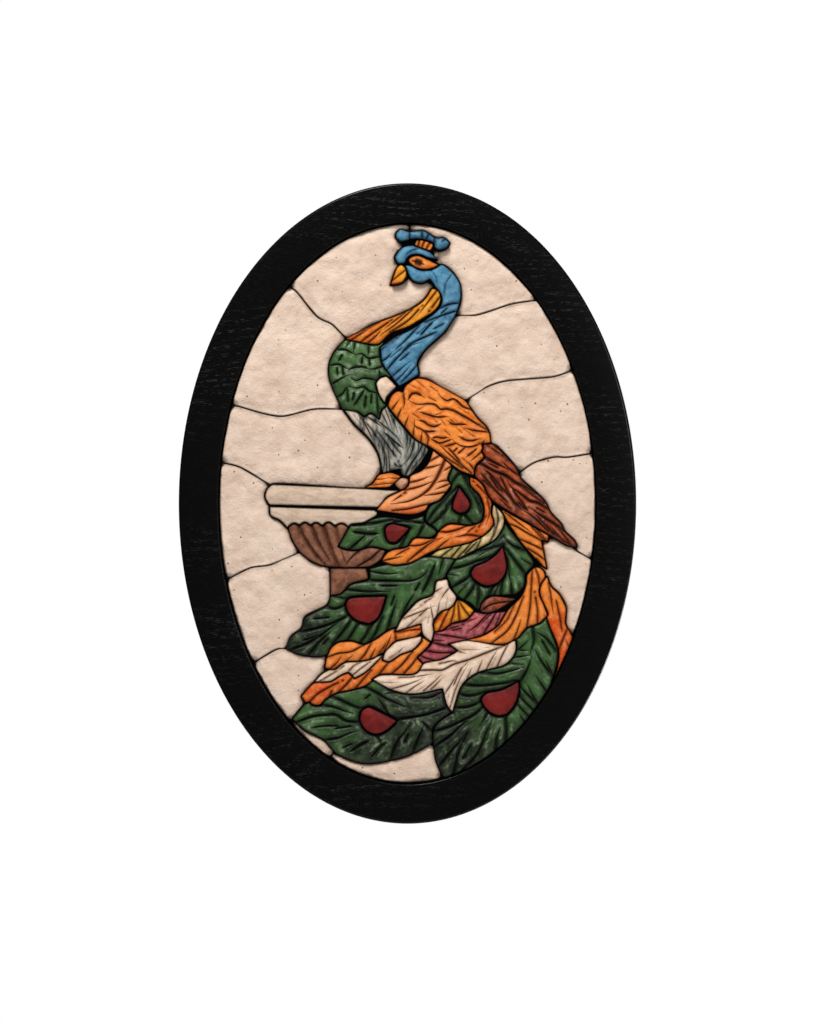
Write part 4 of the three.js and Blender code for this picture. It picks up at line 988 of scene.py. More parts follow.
    def close(self, obj: bpy.types.Object) -> None:
        """Carries the face's edge back to the board as the sawn sides, and closes the back."""
        only(obj)
        bpy.ops.object.mode_set(mode="EDIT")
        bpy.ops.mesh.select_mode(type="EDGE")
        bpy.ops.mesh.select_all(action="DESELECT")
        bpy.ops.mesh.select_non_manifold(extend=False, use_wire=False, use_boundary=True,
                                         use_multi_face=False, use_non_contiguous=False, use_verts=False)
        bpy.ops.mesh.extrude_region_move(TRANSFORM_OT_translate={"value": (0, MM, 0)})
        bpy.ops.transform.resize(value=(1, 0, 1), center_override=(0, -BED * MM, 0))
        bpy.ops.mesh.fill(use_beauty=False)
        bpy.ops.mesh.select_all(action="SELECT")
        bpy.ops.mesh.normals_make_consistent(inside=False)
        bpy.ops.object.mode_set(mode="OBJECT")
        bpy.ops.object.shade_smooth_by_angle(angle=math.radians(STONE_SHARP))


# ---------------------------------------------------------------- sub-assemblies

@dataclass
class Surround:
    """The oval frame, turned smooth, and the board behind the stones."""

    half_width: float = 250.0
    half_height: float = 350.0
    rail: float = 43.0
    depth: float = 22.0
    outer_round: float = 3.0
    inner_round: float = 1.5
    rebate: float = 8.0
    steps: int = 256

    def section(self) -> list[tuple[float, float]]:
        """The frame's section as insets from its outer edge and depths from the wall."""
        def arc(inset: float, depth: float, radius: float, start: float, end: float, count: int) -> list:
            turns = np.radians(np.linspace(start, end, count))
            return [(inset - radius * math.cos(a), depth + radius * math.sin(a)) for a in turns]
        outer = arc(self.outer_round, self.depth - self.outer_round, self.outer_round, 0, 90, 7)
        inner = arc(self.rail - self.inner_round, self.depth - self.inner_round, self.inner_round, 90, 180, 6)
        glints = self.rail - self.rebate
        return [(0, 0), *outer, *inner, (self.rail, BED), (glints, BED), (glints, 0)]

    def build(self) -> None:
        """Makes the frame's ring from loops carried along its section, and dresses the board."""
        section = self.section()
        bpy.ops.object.select_all(action="DESELECT")
        bpy.ops.mesh.primitive_circle_add(vertices=self.steps, radius=1.0, rotation=(math.pi / 2, 0, 0))
        ring = bpy.context.object
        ring.name = "frame_turned"
        bpy.ops.object.transform_apply(location=True, rotation=True, scale=True)
        bpy.ops.object.mode_set(mode="EDIT")
        bpy.ops.mesh.select_all(action="SELECT")
        here = (1.0 / MM, 1.0 / MM, 0.0)
        for k, (inset, depth) in enumerate([*section, section[0]]):
            want = (self.half_width - inset, self.half_height - inset, depth)
            if k:
                bpy.ops.mesh.extrude_region_move(
                    TRANSFORM_OT_translate={"value": (0, -(want[2] - here[2]) * MM, 0)})
            bpy.ops.transform.resize(
                value=(want[0] / here[0], 1, want[1] / here[1]), center_override=(0, 0, 0))
            here = want
        bpy.ops.mesh.select_all(action="SELECT")
        bpy.ops.mesh.remove_doubles(threshold=1e-6)
        bpy.ops.mesh.normals_make_consistent(inside=False)
        bpy.ops.object.mode_set(mode="OBJECT")
        bpy.ops.object.shade_smooth_by_angle(angle=math.radians(FRAME_SHARP))
        ring.data.materials.append(material(Slot.FRAME))
        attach(ring, "root")
        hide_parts("frame")
        log.info("frame: %d faces", len(ring.data.polygons))
        board = frame["nodes"]["backing_board"]
        board.data.materials.clear()
        board.data.materials.append(material(Slot.BOARD))
        log.info("backing_board dressed")


@dataclass
class Ground:
    """The plain ground: thirteen slabs of limestone, worked by hand and hollowed towards the bird."""

    names: tuple = (
        "slab_top_left", "slab_left_upper", "slab_left_middle", "slab_left_lower", "slab_left_base",
        "slab_bottom_left", "slab_bottom_sliver", "slab_bottom", "slab_top_right", "slab_right_upper",
        "slab_right_middle", "slab_right_lower", "slab_right_base")
    chisel: float = 0.85

    def stones(self) -> list[Stone]:
        """The slabs."""
        return [Stone(name, Slot.SLAB, [], edge_round=2.6, edge_fall=1.8, dome=1.0, dome_reach=12,
                      chisel=self.chisel, rim_ink=0.6, painted_shade=0.35, step=SLAB_STEP, seed=40 + k)
                for k, name in enumerate(self.names)]


# The gravers: what strokes of one kind share
DEEP = {"width": 4.0, "depth": 2.6}
PLAIN = {"width": 2.4, "depth": 1.6}
FINE = {"width": 1.5, "depth": 0.9}
FAINT = {"width": 1.2, "depth": 0.5, "ink": 0.45}
OVERLAP = {"width": 2.6, "depth": 1.9, "cut": Cut.STEP_RIGHT}

# What stones of one kind share: the strongly lobed green feathers, and the two rims of the bowl
LOBED = {"painted_shade": 0.8, "shade_reach": 2.6, "lobe": 1.7}
HONED = {"edge_round": 3.0, "edge_fall": 2.4, "dome": 0.8, "painted_shade": 0.5, "rim_ink": 1.3, "chisel": 0.4}


@dataclass
class Bird:
    """The peacock's head, body and wing."""

    def head(self) -> list[Stone]:
        """The stones of the head and neck."""
        return [
            Stone("crest", Slot.BLUE, cuts(
                [[2, 298], [2.5, 291]], [[16, 295], [16, 290]], [[23.5, 294], [21.5, 290]],
                [[30, 291], [29, 284]], [[41, 288], [36.5, 284.5]], **PLAIN), lobe=1.0, seed=1,
                tint_from=(-60, 290), tint_to=(40, 290)),
            Stone("crest_stem", Slot.ORANGE, cuts(
                [[13, 288], [12, 281]], [[18.5, 287], [16, 279]], [[25, 286], [21, 278]], **PLAIN),
                lobe=1.0, edge_round=2.6, edge_fall=2.2, tint_from=(9, 284), tint_to=(60, 284), seed=2),
            Stone("crown", Slot.BLUE, cuts(
                [[-3, 268], [2, 274], [12, 277.5], [20, 275], [26, 270]], width=2.6, depth=1.4,
                cut=Cut.STEP_RIGHT, ink=0.45), run_out=0.0, seed=3),
            Stone("eye", Slot.ORANGE, cuts(
                [[7.5, 264], [11.5, 263], [16, 261.2]], width=5.6, depth=1.6, ink=2.4), lobe=0.3,
                run_out=0.0, edge_round=2.4, edge_fall=2.0, painted_shade=0.7, seed=4),
            Stone("beak", Slot.AMBER, cuts(
                [[-14, 245], [-2.5, 254]], **FINE), edge_round=3.0, edge_fall=2.6, seed=5,
                tint_from=(-4, 244), tint_to=(-12, 236)),
            Stone("throat_stripe", Slot.AMBER, [
                *cuts([[32, 232], [22, 219], [11, 205]], [[36, 226], [27, 214]],
                      [[-5, 206], [-17, 197], [-26, 190]], [[3, 209.5], [-12, 196], [-30, 183]],
                      [[12, 211], [0, 199], [-17, 188]], **PLAIN),
                *cuts([[-32, 197], [-44, 190], [-57, 181]], [[-21, 197.5], [-36, 187], [-50, 177]],
                      [[-28, 190], [-34, 183], [-42, 176]], [[-40, 194], [-55, 186]], **PLAIN)], lobe=1.0,
                edge_round=3.4, edge_fall=2.8, seed=6, tint_from=(15, 212), tint_to=(-50, 180)),
            Stone("neck", Slot.BLUE, [
                *cuts([[57, 218.5], [47, 217.5], [38, 214]], [[53, 210], [38, 205], [22, 199]],
                      [[28, 198], [20, 190], [14, 183]], [[11, 192], [-2, 178], [-15, 166]],
                      [[-17, 165], [-22, 159], [-28, 155]], [[15, 176], [4, 172], [-10, 160], [-24, 144]],
                      [[32, 187], [18, 181], [4, 174], [-8, 162]], **PLAIN),
                *cuts([[-3, 188], [-14, 178], [-24, 171]], [[-10, 183], [-20, 176], [-28, 168]],
                      [[3, 155], [-8, 146], [-18, 137]], [[4, 151], [-4, 142], [-12, 134]],
                      [[8, 148], [2, 141], [-3, 136]], [[40, 196], [28, 190]], [[24, 204], [12, 197]],
                      [[2, 164], [-9, 155]], [[44, 214], [36, 206]], **FINE),
                *cuts([[49, 250], [42, 240], [40, 230]], [[26, 254], [31, 246], [32, 240]],
                      [[20, 193], [10, 184]], [[-5, 170], [-20, 158]], [[34, 202], [24, 196]], **FAINT)],
                seed=7),
            Stone("shoulder_chip", Slot.CREAM, seed=8),
        ]

    def body(self) -> list[Stone]:
        """The stones of the breast, belly and leg."""
        return [
            Stone("breast", Slot.GREEN, [
                *cuts([[-75, 168], [-68, 168], [-62, 165], [-57, 162]],
                      [[-57, 162], [-50, 163.5], [-43, 159], [-31, 160]],
                      [[-83, 151], [-75, 152], [-69, 149], [-64, 146]],
                      [[-64, 146], [-57, 149], [-48, 149], [-43, 147]],
                      [[-43, 147], [-37, 147], [-29, 149]], [[-80, 132], [-74, 136], [-66, 140]],
                      [[-61, 137], [-56, 134.5], [-48, 137], [-35, 135]],
                      [[-77, 116], [-71, 120], [-67, 126], [-63, 127.5]],
                      [[-63, 127.5], [-56, 126], [-48, 127.5], [-42, 123], [-36, 121]], **OVERLAP),
                *cuts([[-66, 125], [-65, 110]], [[-58, 122], [-60, 112]],
                      [[-47, 124], [-52, 116], [-58, 107]], [[-45, 118], [-47, 104]],
                      [[-33, 113], [-32, 99]], [[-57, 176], [-59, 166]], [[-63, 177], [-67, 171]],
                      [[-42, 172], [-43, 161]], [[-71, 163], [-75, 155]], [[-49, 160], [-50, 152]],
                      [[-42, 158], [-41, 150]], [[-77, 149], [-76, 140]], [[-71, 150], [-70, 140]],
                      [[-31, 146], [-30, 140]], [[-39, 120], [-40, 108]], **PLAIN)], seed=9),
            Stone("thigh", Slot.ORANGE, [
                *cuts([[41, 47], [36, 36], [31, 26], [23, 15], [12, 7], [0, 2], [-17, -0.5]], **DEEP),
                *cuts([[28, 48], [35, 52]], [[23, 39], [30, 40.5], [38, 43]], [[38, 34.5], [48, 40.5]],
                      [[4, 23], [14, 25.5], [24, 29.5]], [[0, 15], [14, 18.5], [30, 25]],
                      [[-17, 2], [-7, 8.5]], [[31, 22], [38, 24.5], [46, 25]], [[30, 15], [44, 20.5]],
                      [[16, 8.5], [26, 9.5], [38, 11.5]], [[-12, -7.5], [0, -6], [17, -2]], **PLAIN)],
                seed=11, worn=0.62, tint_from=(0, 4), tint_to=(0, -14)),
            Stone("claw", Slot.ORANGE, cuts(
                [[-40, 19.5], [-28, 21], [-17, 22]], [[-34, 26], [-22, 27]], [[-22, 28], [-12, 27]],
                ink=0.7, **FINE), edge_round=2.6, edge_fall=2.2, seed=12),
            Stone("knuckle", Slot.BROWN, edge_round=3.5, seed=13, tint_from=(4, 24), tint_to=(-2, 22)),
            Stone("belly", Slot.GREY, [
                *cuts([[-44, 94.5], [-36, 89.5], [-27, 83]], [[-25, 77], [-15, 68], [-6, 61]],
                      [[8, 72], [6, 60], [1, 48], [-3, 44]], [[16, 63], [12, 55], [4, 43], [0, 35]],
                      **PLAIN),
                *cuts([[-22, 73], [-12, 60], [-6, 53]], [[-34, 80], [-25, 68], [-18, 58], [-12, 50]],
                      [[-37, 78], [-28, 64], [-25, 47], [-27, 34]], [[-27, 62], [-23, 50], [-23, 35]],
                      [[-21, 57], [-20, 45], [-19, 34]], [[-24, 102], [-20, 92], [-17, 82]],
                      [[-28, 98], [-23, 88], [-19, 80]], [[-19, 98], [-13, 85], [-11, 78]],
                      [[-52, 96], [-45, 84], [-40, 74]], [[-45, 88], [-38, 79], [-34, 72]],
                      [[-30, 88], [-20, 80], [-10, 70], [-4, 60]], [[12, 66], [12, 59], [7, 50]],
                      [[20, 62], [17, 52], [9, 42]], [[-2, 80], [0, 70], [-2, 60]],
                      [[4, 76], [3, 66], [0, 56]], [[-8, 41], [-5, 33]], [[1, 41], [-2, 32]],
                      [[-15, 44], [-10, 40], [-5, 42]], **FINE),
                *cuts([[-60, 98], [-50, 86]], [[-33, 98], [-28, 90]], [[-30, 72], [-22, 58], [-16, 46]],
                      [[-16, 90], [-12, 80]], [[-14, 66], [-8, 56], [-7, 48]], [[14, 50], [7, 40]],
                      [[-8, 84], [-6, 74]], [[10, 56], [4, 48]], **FAINT)], lobe=0.7, painted_shade=0.75, seed=14,
                tint_from=(-18, 70), tint_to=(-52, 92)),
        ]

    def wings(self) -> list[Stone]:
        """The stones of the folded wing."""
        return [
            Stone("wing", Slot.ORANGE, [
                *cuts([[1, 112.7], [10, 108.5], [24, 109], [30, 108], [36, 103], [42, 103.5], [50, 101.5],
                       [60, 96], [72, 89], [86, 80.5]],
                      [[-5, 121], [-3.2, 110], [-4.5, 103.6]],
                      [[34, 120], [38, 115], [43, 112.5], [50, 114], [56, 110], [60, 106], [67, 103]],
                      [[1, 112.7], [4, 119], [9, 120.5], [16, 117]], width=3.0, depth=2.2,
                      cut=Cut.STEP_RIGHT),
                *cuts([[14, 99.5], [22, 97], [32, 94.5], [43, 94.5]],
                      [[45, 89.5], [49, 86.5], [56, 86.5], [64, 86]],
                      [[62, 82.5], [70, 80.5], [79, 79], [89, 77.5]],
                      [[12, 91], [18, 89], [23, 85.5], [30, 84], [36, 86.5]],
                      [[8, 92], [8, 85], [15, 81], [20, 77], [23, 71], [22, 66]],
                      [[17, 79.5], [23, 78.5], [31, 79]], [[27, 71], [32, 72.5], [38, 71.5], [44, 72]],
                      [[57, 72.5], [63, 69.5], [70, 68.5], [77, 70]],
                      [[50, 68.5], [56, 64], [64, 62], [72, 62.5], [81, 66]],
                      [[26, 70], [35, 66], [43, 68], [48, 70]], [[40, 62], [47, 64], [54, 66]], **OVERLAP),
                *cuts([[-15, 105], [-9, 113]], [[-10, 96], [-6, 105]], [[-3, 84], [1, 95]],
                      [[6, 73], [7.5, 86]], [[14.5, 67], [16, 78]],
                      [[31, 69], [42, 57], [55, 45], [66, 36]], [[44, 61], [52, 52], [58, 44]],
                      [[50, 56], [55, 61]], [[55, 54], [63, 61]], [[65, 51], [76, 60]],
                      [[69, 46], [82, 57]], [[65, 46], [72, 38]], [[23, 62], [40, 51], [56, 41]], **PLAIN),
                *cuts([[20, 107], [10, 101]], [[40, 100], [30, 96]], [[55, 98], [66, 88]],
                      [[46, 92], [54, 84]], [[52, 84], [60, 76]], [[60, 83], [70, 74]],
                      [[26, 94], [33, 88]], [[36, 92], [42, 84]], [[40, 80], [47, 73]],
                      [[66, 78], [74, 72]], [[12, 132], [24, 122]], [[24, 128], [34, 121]],
                      [[46, 119], [58, 112]], [[55, 105], [66, 98]], [[70, 95], [80, 86]],
                      [[5, 128], [14, 124]], [[24, 82], [30, 76]], [[34, 66], [44, 60]],
                      [[60, 50], [66, 42]], [[22, 116], [32, 111]], [[5, 98], [14, 92]], **FAINT)], seed=10),
            Stone("primaries", Slot.BROWN, [
                *cuts([[78, 44], [86, 40], [95, 35], [108, 30], [118, 22.5], [128, 18], [138, 12]],
                      [[109, 25], [113, 18], [120, 13], [128, 7], [134, 2.5], [141, 1], [148, -3]],
                      [[133, -4], [140, -9], [150, -16], [158, -21], [168, -28]],
                      [[88, 48], [98, 43], [110, 37]], **DEEP),
                *cuts([[102, 47], [112, 37], [121, 31]], [[110, 50], [118, 41], [124, 34]],
                      [[101, 30], [105, 22], [110, 12], [115, 3], [124, -6]],
                      [[84, 37], [92, 30], [100, 20], [108, 11], [118, 0]],
                      [[80, 33], [87, 25], [95, 15], [102, 8], [110, 0]],
                      [[114, 16], [122, 5], [127, -2], [132, -9]], [[86, 22], [93, 16], [101, 8]],
                      [[124, -6], [135, -13], [143, -20], [150, -27]], [[138, -10], [147, -20], [156, -30]],
                      [[150, -20], [160, -32], [171, -41], [181, -47]], [[168, -31], [176, -42]],
                      [[128, 16], [138, 8], [146, 2]], [[90, 30], [100, 14]], [[96, 26], [104, 12]],
                      **PLAIN),
                *cuts([[92, 60], [104, 52]], [[98, 60], [108, 54]], [[88, 44], [100, 38]],
                      [[106, 16], [114, 6]], [[118, 10], [126, 0]], [[120, 2], [130, -8]],
                      [[140, -4], [150, -10]], [[155, -24], [164, -34]], [[98, 8], [108, -2]], **FINE)],
                lobe=1.1, painted_shade=0.7, seed=15),
        ]

    def stones(self) -> list[Stone]:
        """The stones of the bird, each with the strokes cut into it."""
        return [*self.head(), *self.body(), *self.wings()]


@dataclass
class Tail:
    """The folded train of the peacock: drops, ribbons and feathers."""

    def greens(self) -> list[Stone]:
        """The green stones, which each hold a drop but for one."""
        return [
            Stone("green_eye_top", Slot.GREEN, cuts(
                [[58, 34], [52, 28], [46, 18]], [[53, 16], [42, 5], [30, -8], [22, -19]],
                [[48, 0], [38, -12], [26, -23]], [[62, 30], [70, 14], [79, -4]], [[62, -12], [70, -21]],
                [[54, 9], [46, 0]], [[75, 10], [82, 0]], [[58, -14], [56, -22]], [[40, -8], [34, -18]],
                **DEEP), seed=28, **LOBED),
            Stone("green_left_small", Slot.GREEN, cuts(
                [[-60, -31], [-45, -33], [-32, -33]], [[-44, -33], [-60, -47]],
                [[-22, -19], [-40, -22], [-58, -23]], [[-12, -20], [2, -20], [15, -21]],
                [[-2, -35], [-8, -49]], [[19, -22], [10, -38]], [[-36, -38], [-50, -52]],
                [[-30, -14], [-44, -17]], **DEEP), seed=29, **LOBED),
            Stone("green_centre", Slot.GREEN, [
                *cuts([[101, -46], [88, -50], [72, -54], [60, -57]],
                      [[90, -59], [76, -63], [62, -68], [50, -71]], [[68, -80], [58, -86], [48, -92]],
                      [[75, -87], [70, -95], [63, -104]], [[77, -89], [78, -100], [76, -114]],
                      [[103, -88], [102, -100]], [[113, -84], [114, -99]], [[93, -91], [89, -100]],
                      [[106, -38], [115, -46], [124, -50]], [[112, -56], [120, -66], [129, -77]],
                      [[108, -62], [110, -74], [113, -86]], **DEEP),
                *cuts([[98, -93], [95, -99]], [[66, -87], [57, -97]], [[122, -88], [124, -94]],
                      [[56, -79], [48, -78]], [[102, -38], [96, -44]], [[84, -53], [76, -59]],
                      [[120, -58], [134, -66]], **FINE)], seed=33, **LOBED),
            Stone("green_left_big", Slot.GREEN, [
                *cuts([[-41, -84], [-20, -84.5], [8, -83.5], [18, -78], [24, -68]],
                      [[-67, -94], [-45, -96], [-20, -96]],
                      [[-115, -140], [-95, -135], [-78, -129], [-68, -124]],
                      [[-124, -158], [-110, -153], [-95, -144], [-80, -133], [-68, -126]],
                      [[-109, -166], [-97, -152], [-84, -140]], [[-79, -150], [-69, -138], [-61, -127]],
                      [[-66, -150], [-58, -138], [-53, -130]], [[-51, -151], [-45, -143], [-41, -135]],
                      [[-40, -149], [-34, -140], [-30, -130]], [[-21, -135], [-18, -125], [-12, -107]],
                      [[-88, -113], [-80, -115], [-70, -112]], [[-5, -122], [0, -110], [8, -98]],
                      [[30, -66], [24, -82], [16, -98]], **DEEP),
                *cuts([[-103, -126], [-92, -125], [-84, -124]], [[-115, -150], [-103, -146], [-95, -143]],
                      [[-36, -75], [-22, -77], [-6, -76]], [[-93, -155], [-86, -147]],
                      [[-78, -102], [-68, -104]], [[14, -86], [8, -96]], [[38, -64], [34, -78]],
                      [[-14, -100], [-18, -112]], [[-30, -90], [-10, -90]], **PLAIN)], seed=58, **LOBED,
                tint_from=(-64, -134), tint_to=(-108, -146)),
            Stone("green_bottom_right", Slot.GREEN, [
                *cuts([[60, -198], [80, -199], [100, -197], [118, -194]],
                      [[55, -208], [68, -210], [82, -207]], [[54, -223], [66, -222], [80, -217]],
                      [[30, -249], [45, -244], [58, -238], [72, -231], [80, -225]],
                      [[33, -263], [46, -254], [58, -243], [72, -232]],
                      [[36, -285], [48, -270], [55, -262], [63, -251]],
                      [[50, -297], [53, -284], [56, -270], [62, -258]],
                      [[62, -290], [75, -275], [81, -264], [86, -250], [92, -237]],
                      [[97, -269], [97, -258], [101, -245]], [[108, -261], [108, -247], [107, -234]],
                      [[84, -185], [98, -186], [112, -183], [126, -179]],
                      [[135, -169], [131, -181], [123, -194]], [[137, -138], [138, -150], [134, -164]],
                      [[140, -160], [146, -172], [160, -190]], [[140, -140], [150, -146], [160, -158]],
                      **DEEP),
                *cuts([[130, -196], [138, -212], [145, -222]], [[122, -230], [130, -241]],
                      [[121, -221], [134, -234]], [[123, -212], [138, -226]], [[126, -204], [142, -219]],
                      [[133, -149], [124, -157]], [[132, -161], [120, -160]], [[134, -166], [118, -168]],
                      [[126, -176], [110, -175], [100, -176]], [[150, -170], [158, -186]],
                      [[146, -148], [156, -166]], [[140, -188], [152, -206]], [[66, -248], [60, -262]],
                      [[70, -262], [60, -280]], [[86, -232], [78, -244]], **PLAIN)], seed=59, **LOBED,
                tint_from=(112, -200), tint_to=(58, -268)),
            Stone("green_bottom_left", Slot.GREEN, [
                *cuts([[-121, -239], [-105, -233], [-90, -231], [-78, -231], [-68, -237], [-52, -239]],
                      [[-100, -220], [-82, -222], [-68, -227], [-60, -229]],
                      [[-88, -210], [-75, -214], [-62, -220], [-51, -224]],
                      [[-48, -200], [-35, -206], [-25, -212], [-12, -218], [1, -223]],
                      [[-88, -258], [-76, -256], [-66, -252], [-54, -248]],
                      [[-62, -271], [-52, -264], [-42, -259]],
                      [[-18, -278], [-12, -262], [-4, -250], [3, -241]],
                      [[-12, -236], [0, -234], [18, -231], [40, -224]], [[6, -271], [12, -256], [18, -242]],
                      **DEEP),
                *cuts([[-104, -245], [-90, -243], [-74, -243]], [[-71, -267], [-60, -262]],
                      [[-40, -278], [-32, -268], [-24, -261]], [[-33, -212], [-26, -222], [-22, -230]],
                      [[-47, -214], [-40, -208]], [[10, -212], [24, -212], [36, -207]],
                      [[14, -236], [26, -248]], [[-24, -208], [-12, -206]], [[-80, -246], [-60, -243]],
                      [[-34, -252], [-28, -264]], [[-4, -262], [2, -250]], **PLAIN)], seed=60, **LOBED,
                tint_from=(-84, -236), tint_to=(-44, -268)),
        ]

    def warm(self) -> list[Stone]:
        """The orange, amber and magenta stones."""
        return [
            Stone("orange_ribbon", Slot.ORANGE, [
                *cuts([[34, -31], [44, -31], [56, -28], [66, -24]], [[54, -36], [66, -34], [79, -36]],
                      [[4, -60], [12, -53], [24, -44], [38, -37]], width=3.0, depth=2.0, cut=Cut.STEP_RIGHT),
                *cuts([[33, -49], [40, -43], [47, -38]], [[-15, -58], [-2, -51]],
                      [[3, -46.5], [14, -45.5], [28, -40]], [[88, 2], [90, -10], [86, -22]],
                      [[63, -34], [69, -29]], [[-24, -62], [-6, -58]], [[76, 20], [84, 12]],
                      [[84, -16], [78, -26]], **PLAIN)], seed=27, tint_from=(-60, -60), tint_to=(160, -60)),
            Stone("orange_right_upper", Slot.ORANGE, cuts(
                [[105, -21], [118, -25], [130, -32], [145, -40]], [[109, -12], [122, -22], [136, -32]],
                [[122, -39], [134, -44], [147, -50]], [[134, -51], [142, -56], [149, -61]],
                [[138, -28], [147, -38]], [[143, -30], [151, -40]], [[142, -62], [149, -71]], **PLAIN),
                seed=31),
            Stone("orange_drape", Slot.ORANGE, cuts(
                [[136, -78], [135, -95], [134, -112], [131, -132]],
                [[125, -106], [118, -124], [109, -139], [94, -151]],
                [[124, -127], [120, -139], [116, -149]], [[140, -103], [142, -116], [142, -128]],
                [[140, -72], [143, -80], [144, -87]], [[116, -112], [108, -128], [98, -138]], **PLAIN),
                lobe=0.9, seed=34),
            Stone("orange_edge", Slot.ORANGE, [
                *cuts([[155, -90], [157, -104], [159, -120]], [[162, -104], [166, -122], [169, -140]],
                      [[174, -139], [170, -148], [167, -156]], [[173, -149], [176, -156], [178, -163]],
                      **PLAIN),
                *cuts([[169, -175], [165, -184]], [[174, -165], [170, -174]], **FINE)], lobe=0.9, seed=35,
                tint_from=(160, -114), tint_to=(161, -124)),
            Stone("yellow_leaf", Slot.AMBER, cuts(
                [[52, -108], [50, -121], [47, -132]], [[55, -108], [56, -118], [57, -129]],
                [[57, -108], [62, -116], [68, -124]], [[45, -117], [40, -127], [35, -138]],
                [[36, -122], [30, -130]], **PLAIN), seed=36, tint_from=(62, -108), tint_to=(48, -132)),
            Stone("orange_left_upper", Slot.ORANGE, cuts(
                [[-87, -168], [-76, -164], [-62, -162], [-50, -156]],
                [[-72, -166], [-77, -174], [-84, -180]], [[-60, -166], [-68, -173], [-77, -179]],
                [[-42, -157], [-46, -164], [-52, -171]], [[-35, -158], [-38, -164], [-41, -170]],
                [[-23, -151], [-26, -157], [-31, -164]], [[-18, -144], [-20, -150], [-24, -158]],
                [[-14, -138], [-13, -146]], [[-9, -141], [0, -139], [10, -138]], **PLAIN), seed=39,
                tint_from=(-60, -160), tint_to=(90, -125)),
            Stone("orange_left_lower", Slot.ORANGE, cuts(
                [[-107, -217], [-98, -208], [-86, -201], [-76, -196]],
                [[-72, -203], [-66, -197], [-60, -190]], [[-55, -200], [-49, -193], [-42, -185]],
                [[-24, -178], [-28, -183], [-32, -188]], [[3, -165], [-5, -175], [-17, -186]],
                [[12, -167], [5, -176], [-4, -186]], [[-88, -218], [-84, -208]], [[-92, -195], [-80, -191]],
                width=2.8, depth=1.8), seed=57, tint_from=(20, -160), tint_to=(-100, -215)),
            Stone("magenta_feather", Slot.MAGENTA, [
                *cuts([[77, -125], [64, -129], [50, -131]], [[85, -124], [76, -133], [65, -141]],
                      [[96, -121], [90, -131], [84, -141]], [[33, -143], [46, -145], [60, -147]],
                      [[18, -161], [34, -163], [48, -163]], [[14, -166], [20, -169], [27, -171]],
                      [[30, -153], [40, -155], [50, -157]], **PLAIN),
                *cuts([[70, -122], [60, -125]], [[90, -122], [78, -134]], [[60, -136], [48, -139]],
                      [[40, -150], [30, -150]], [[56, -134], [42, -138]], [[102, -118], [98, -130]], **FINE)],
                lobe=0.9, seed=56),
        ]

    def pale(self) -> list[Stone]:
        """The cream and yellow-green feathers, and the brown seed."""
        return [
            Stone("feather_stripe", Slot.OLIVE, cuts(
                [[46, -51], [42, -54], [37, -58]], [[58, -47], [54, -52], [48, -59]],
                [[69, -44], [64, -50], [57, -57]], [[80, -37], [79, -42], [76, -48]],
                [[95, -25], [94, -34], [90, -43]], [[97, -5], [99, -18], [96, -30]], [[72, -46], [66, -52]],
                **PLAIN), lobe=1.0, seed=30, tint_from=(64, -46), tint_to=(88, -26)),
            Stone("brown_seed", Slot.BROWN, cuts(
                [[81, -117], [90, -111], [100, -108.5], [114, -107]], **PLAIN), seed=32,
                tint_from=(100, -112), tint_to=(60, -112)),
            Stone("cream_upper", Slot.CREAM, [
                *cuts([[46, -92], [40, -99], [36, -106]], [[38, -92], [31, -96]],
                      [[30, -112], [15, -118], [0, -124]], [[26, -103], [19, -108]],
                      [[12, -124], [1, -134]], [[35, -107], [33, -120]], [[25, -111], [28, -126]],
                      [[22, -114], [12, -124]], [[22, -100], [12, -107]], **FINE),
                *cuts([[44, -102], [42, -114]], [[18, -112], [6, -117]], [[16, -128], [6, -135]],
                      [[24, -122], [22, -132]], [[30, -98], [22, -103]], **FAINT)], lobe=0.7, seed=37),
            Stone("cream_mid", Slot.CREAM, cuts(
                [[-4, -156.5], [-9, -162], [-16, -167]], **FINE), lobe=0.7, seed=38),
            Stone("cream_quills", Slot.CREAM, cuts(
                [[-92, -192], [-82, -186], [-72, -179]], [[-63, -182], [-58, -177], [-48, -172]],
                [[-60, -188], [-53, -182], [-45, -176]], **FINE), lobe=0.7, seed=54),
            Stone("cream_lower", Slot.CREAM, [
                *cuts([[13, -182.5], [28, -182], [38, -182], [50, -176], [66, -171], [84, -164], [104, -156]],
                      [[45, -153], [54, -161], [64, -164]], **PLAIN),
                *cuts([[-15, -202], [-4, -199], [10, -194], [18, -190]], [[0, -206], [8, -200], [18, -194]],
                      [[22, -201], [30, -194], [37, -187]], [[30, -199], [38, -191]],
                      [[42, -206], [48, -197], [55, -184]], [[50, -200], [54, -190], [60, -178]],
                      [[48, -218], [52, -205], [58, -190], [66, -176]], [[66, -190], [70, -180]],
                      [[76, -186], [82, -170]], [[86, -182], [92, -170], [98, -160]],
                      [[99, -176], [104, -165], [108, -157]], [[40, -174], [50, -172], [58, -174]],
                      [[-6, -190], [10, -189], [28, -186]], **FINE),
                *cuts([[-24, -196], [-8, -196]], [[14, -203], [22, -197]], [[44, -214], [46, -204]],
                      [[60, -160], [80, -160]], [[84, -158], [100, -156]], [[70, -168], [60, -180]],
                      [[54, -210], [58, -198]], [[92, -178], [98, -166]], **FAINT)], lobe=0.9, seed=55),
        ]

    def stones(self) -> list[Stone]:
        """The stones of the tail, each with the strokes cut into it."""
        places = ("top", "left_small", "left_big", "centre", "bottom_left", "bottom_right")
        drops = [Stone(f"drop_{place}", Slot.RED, dome=1.4, chisel=0.25, painted_shade=0.3, edge_round=3.0,
                       edge_fall=1.6, seed=20 + k) for k, place in enumerate(places)]
        return [*drops, *self.greens(), *self.warm(), *self.pale()]


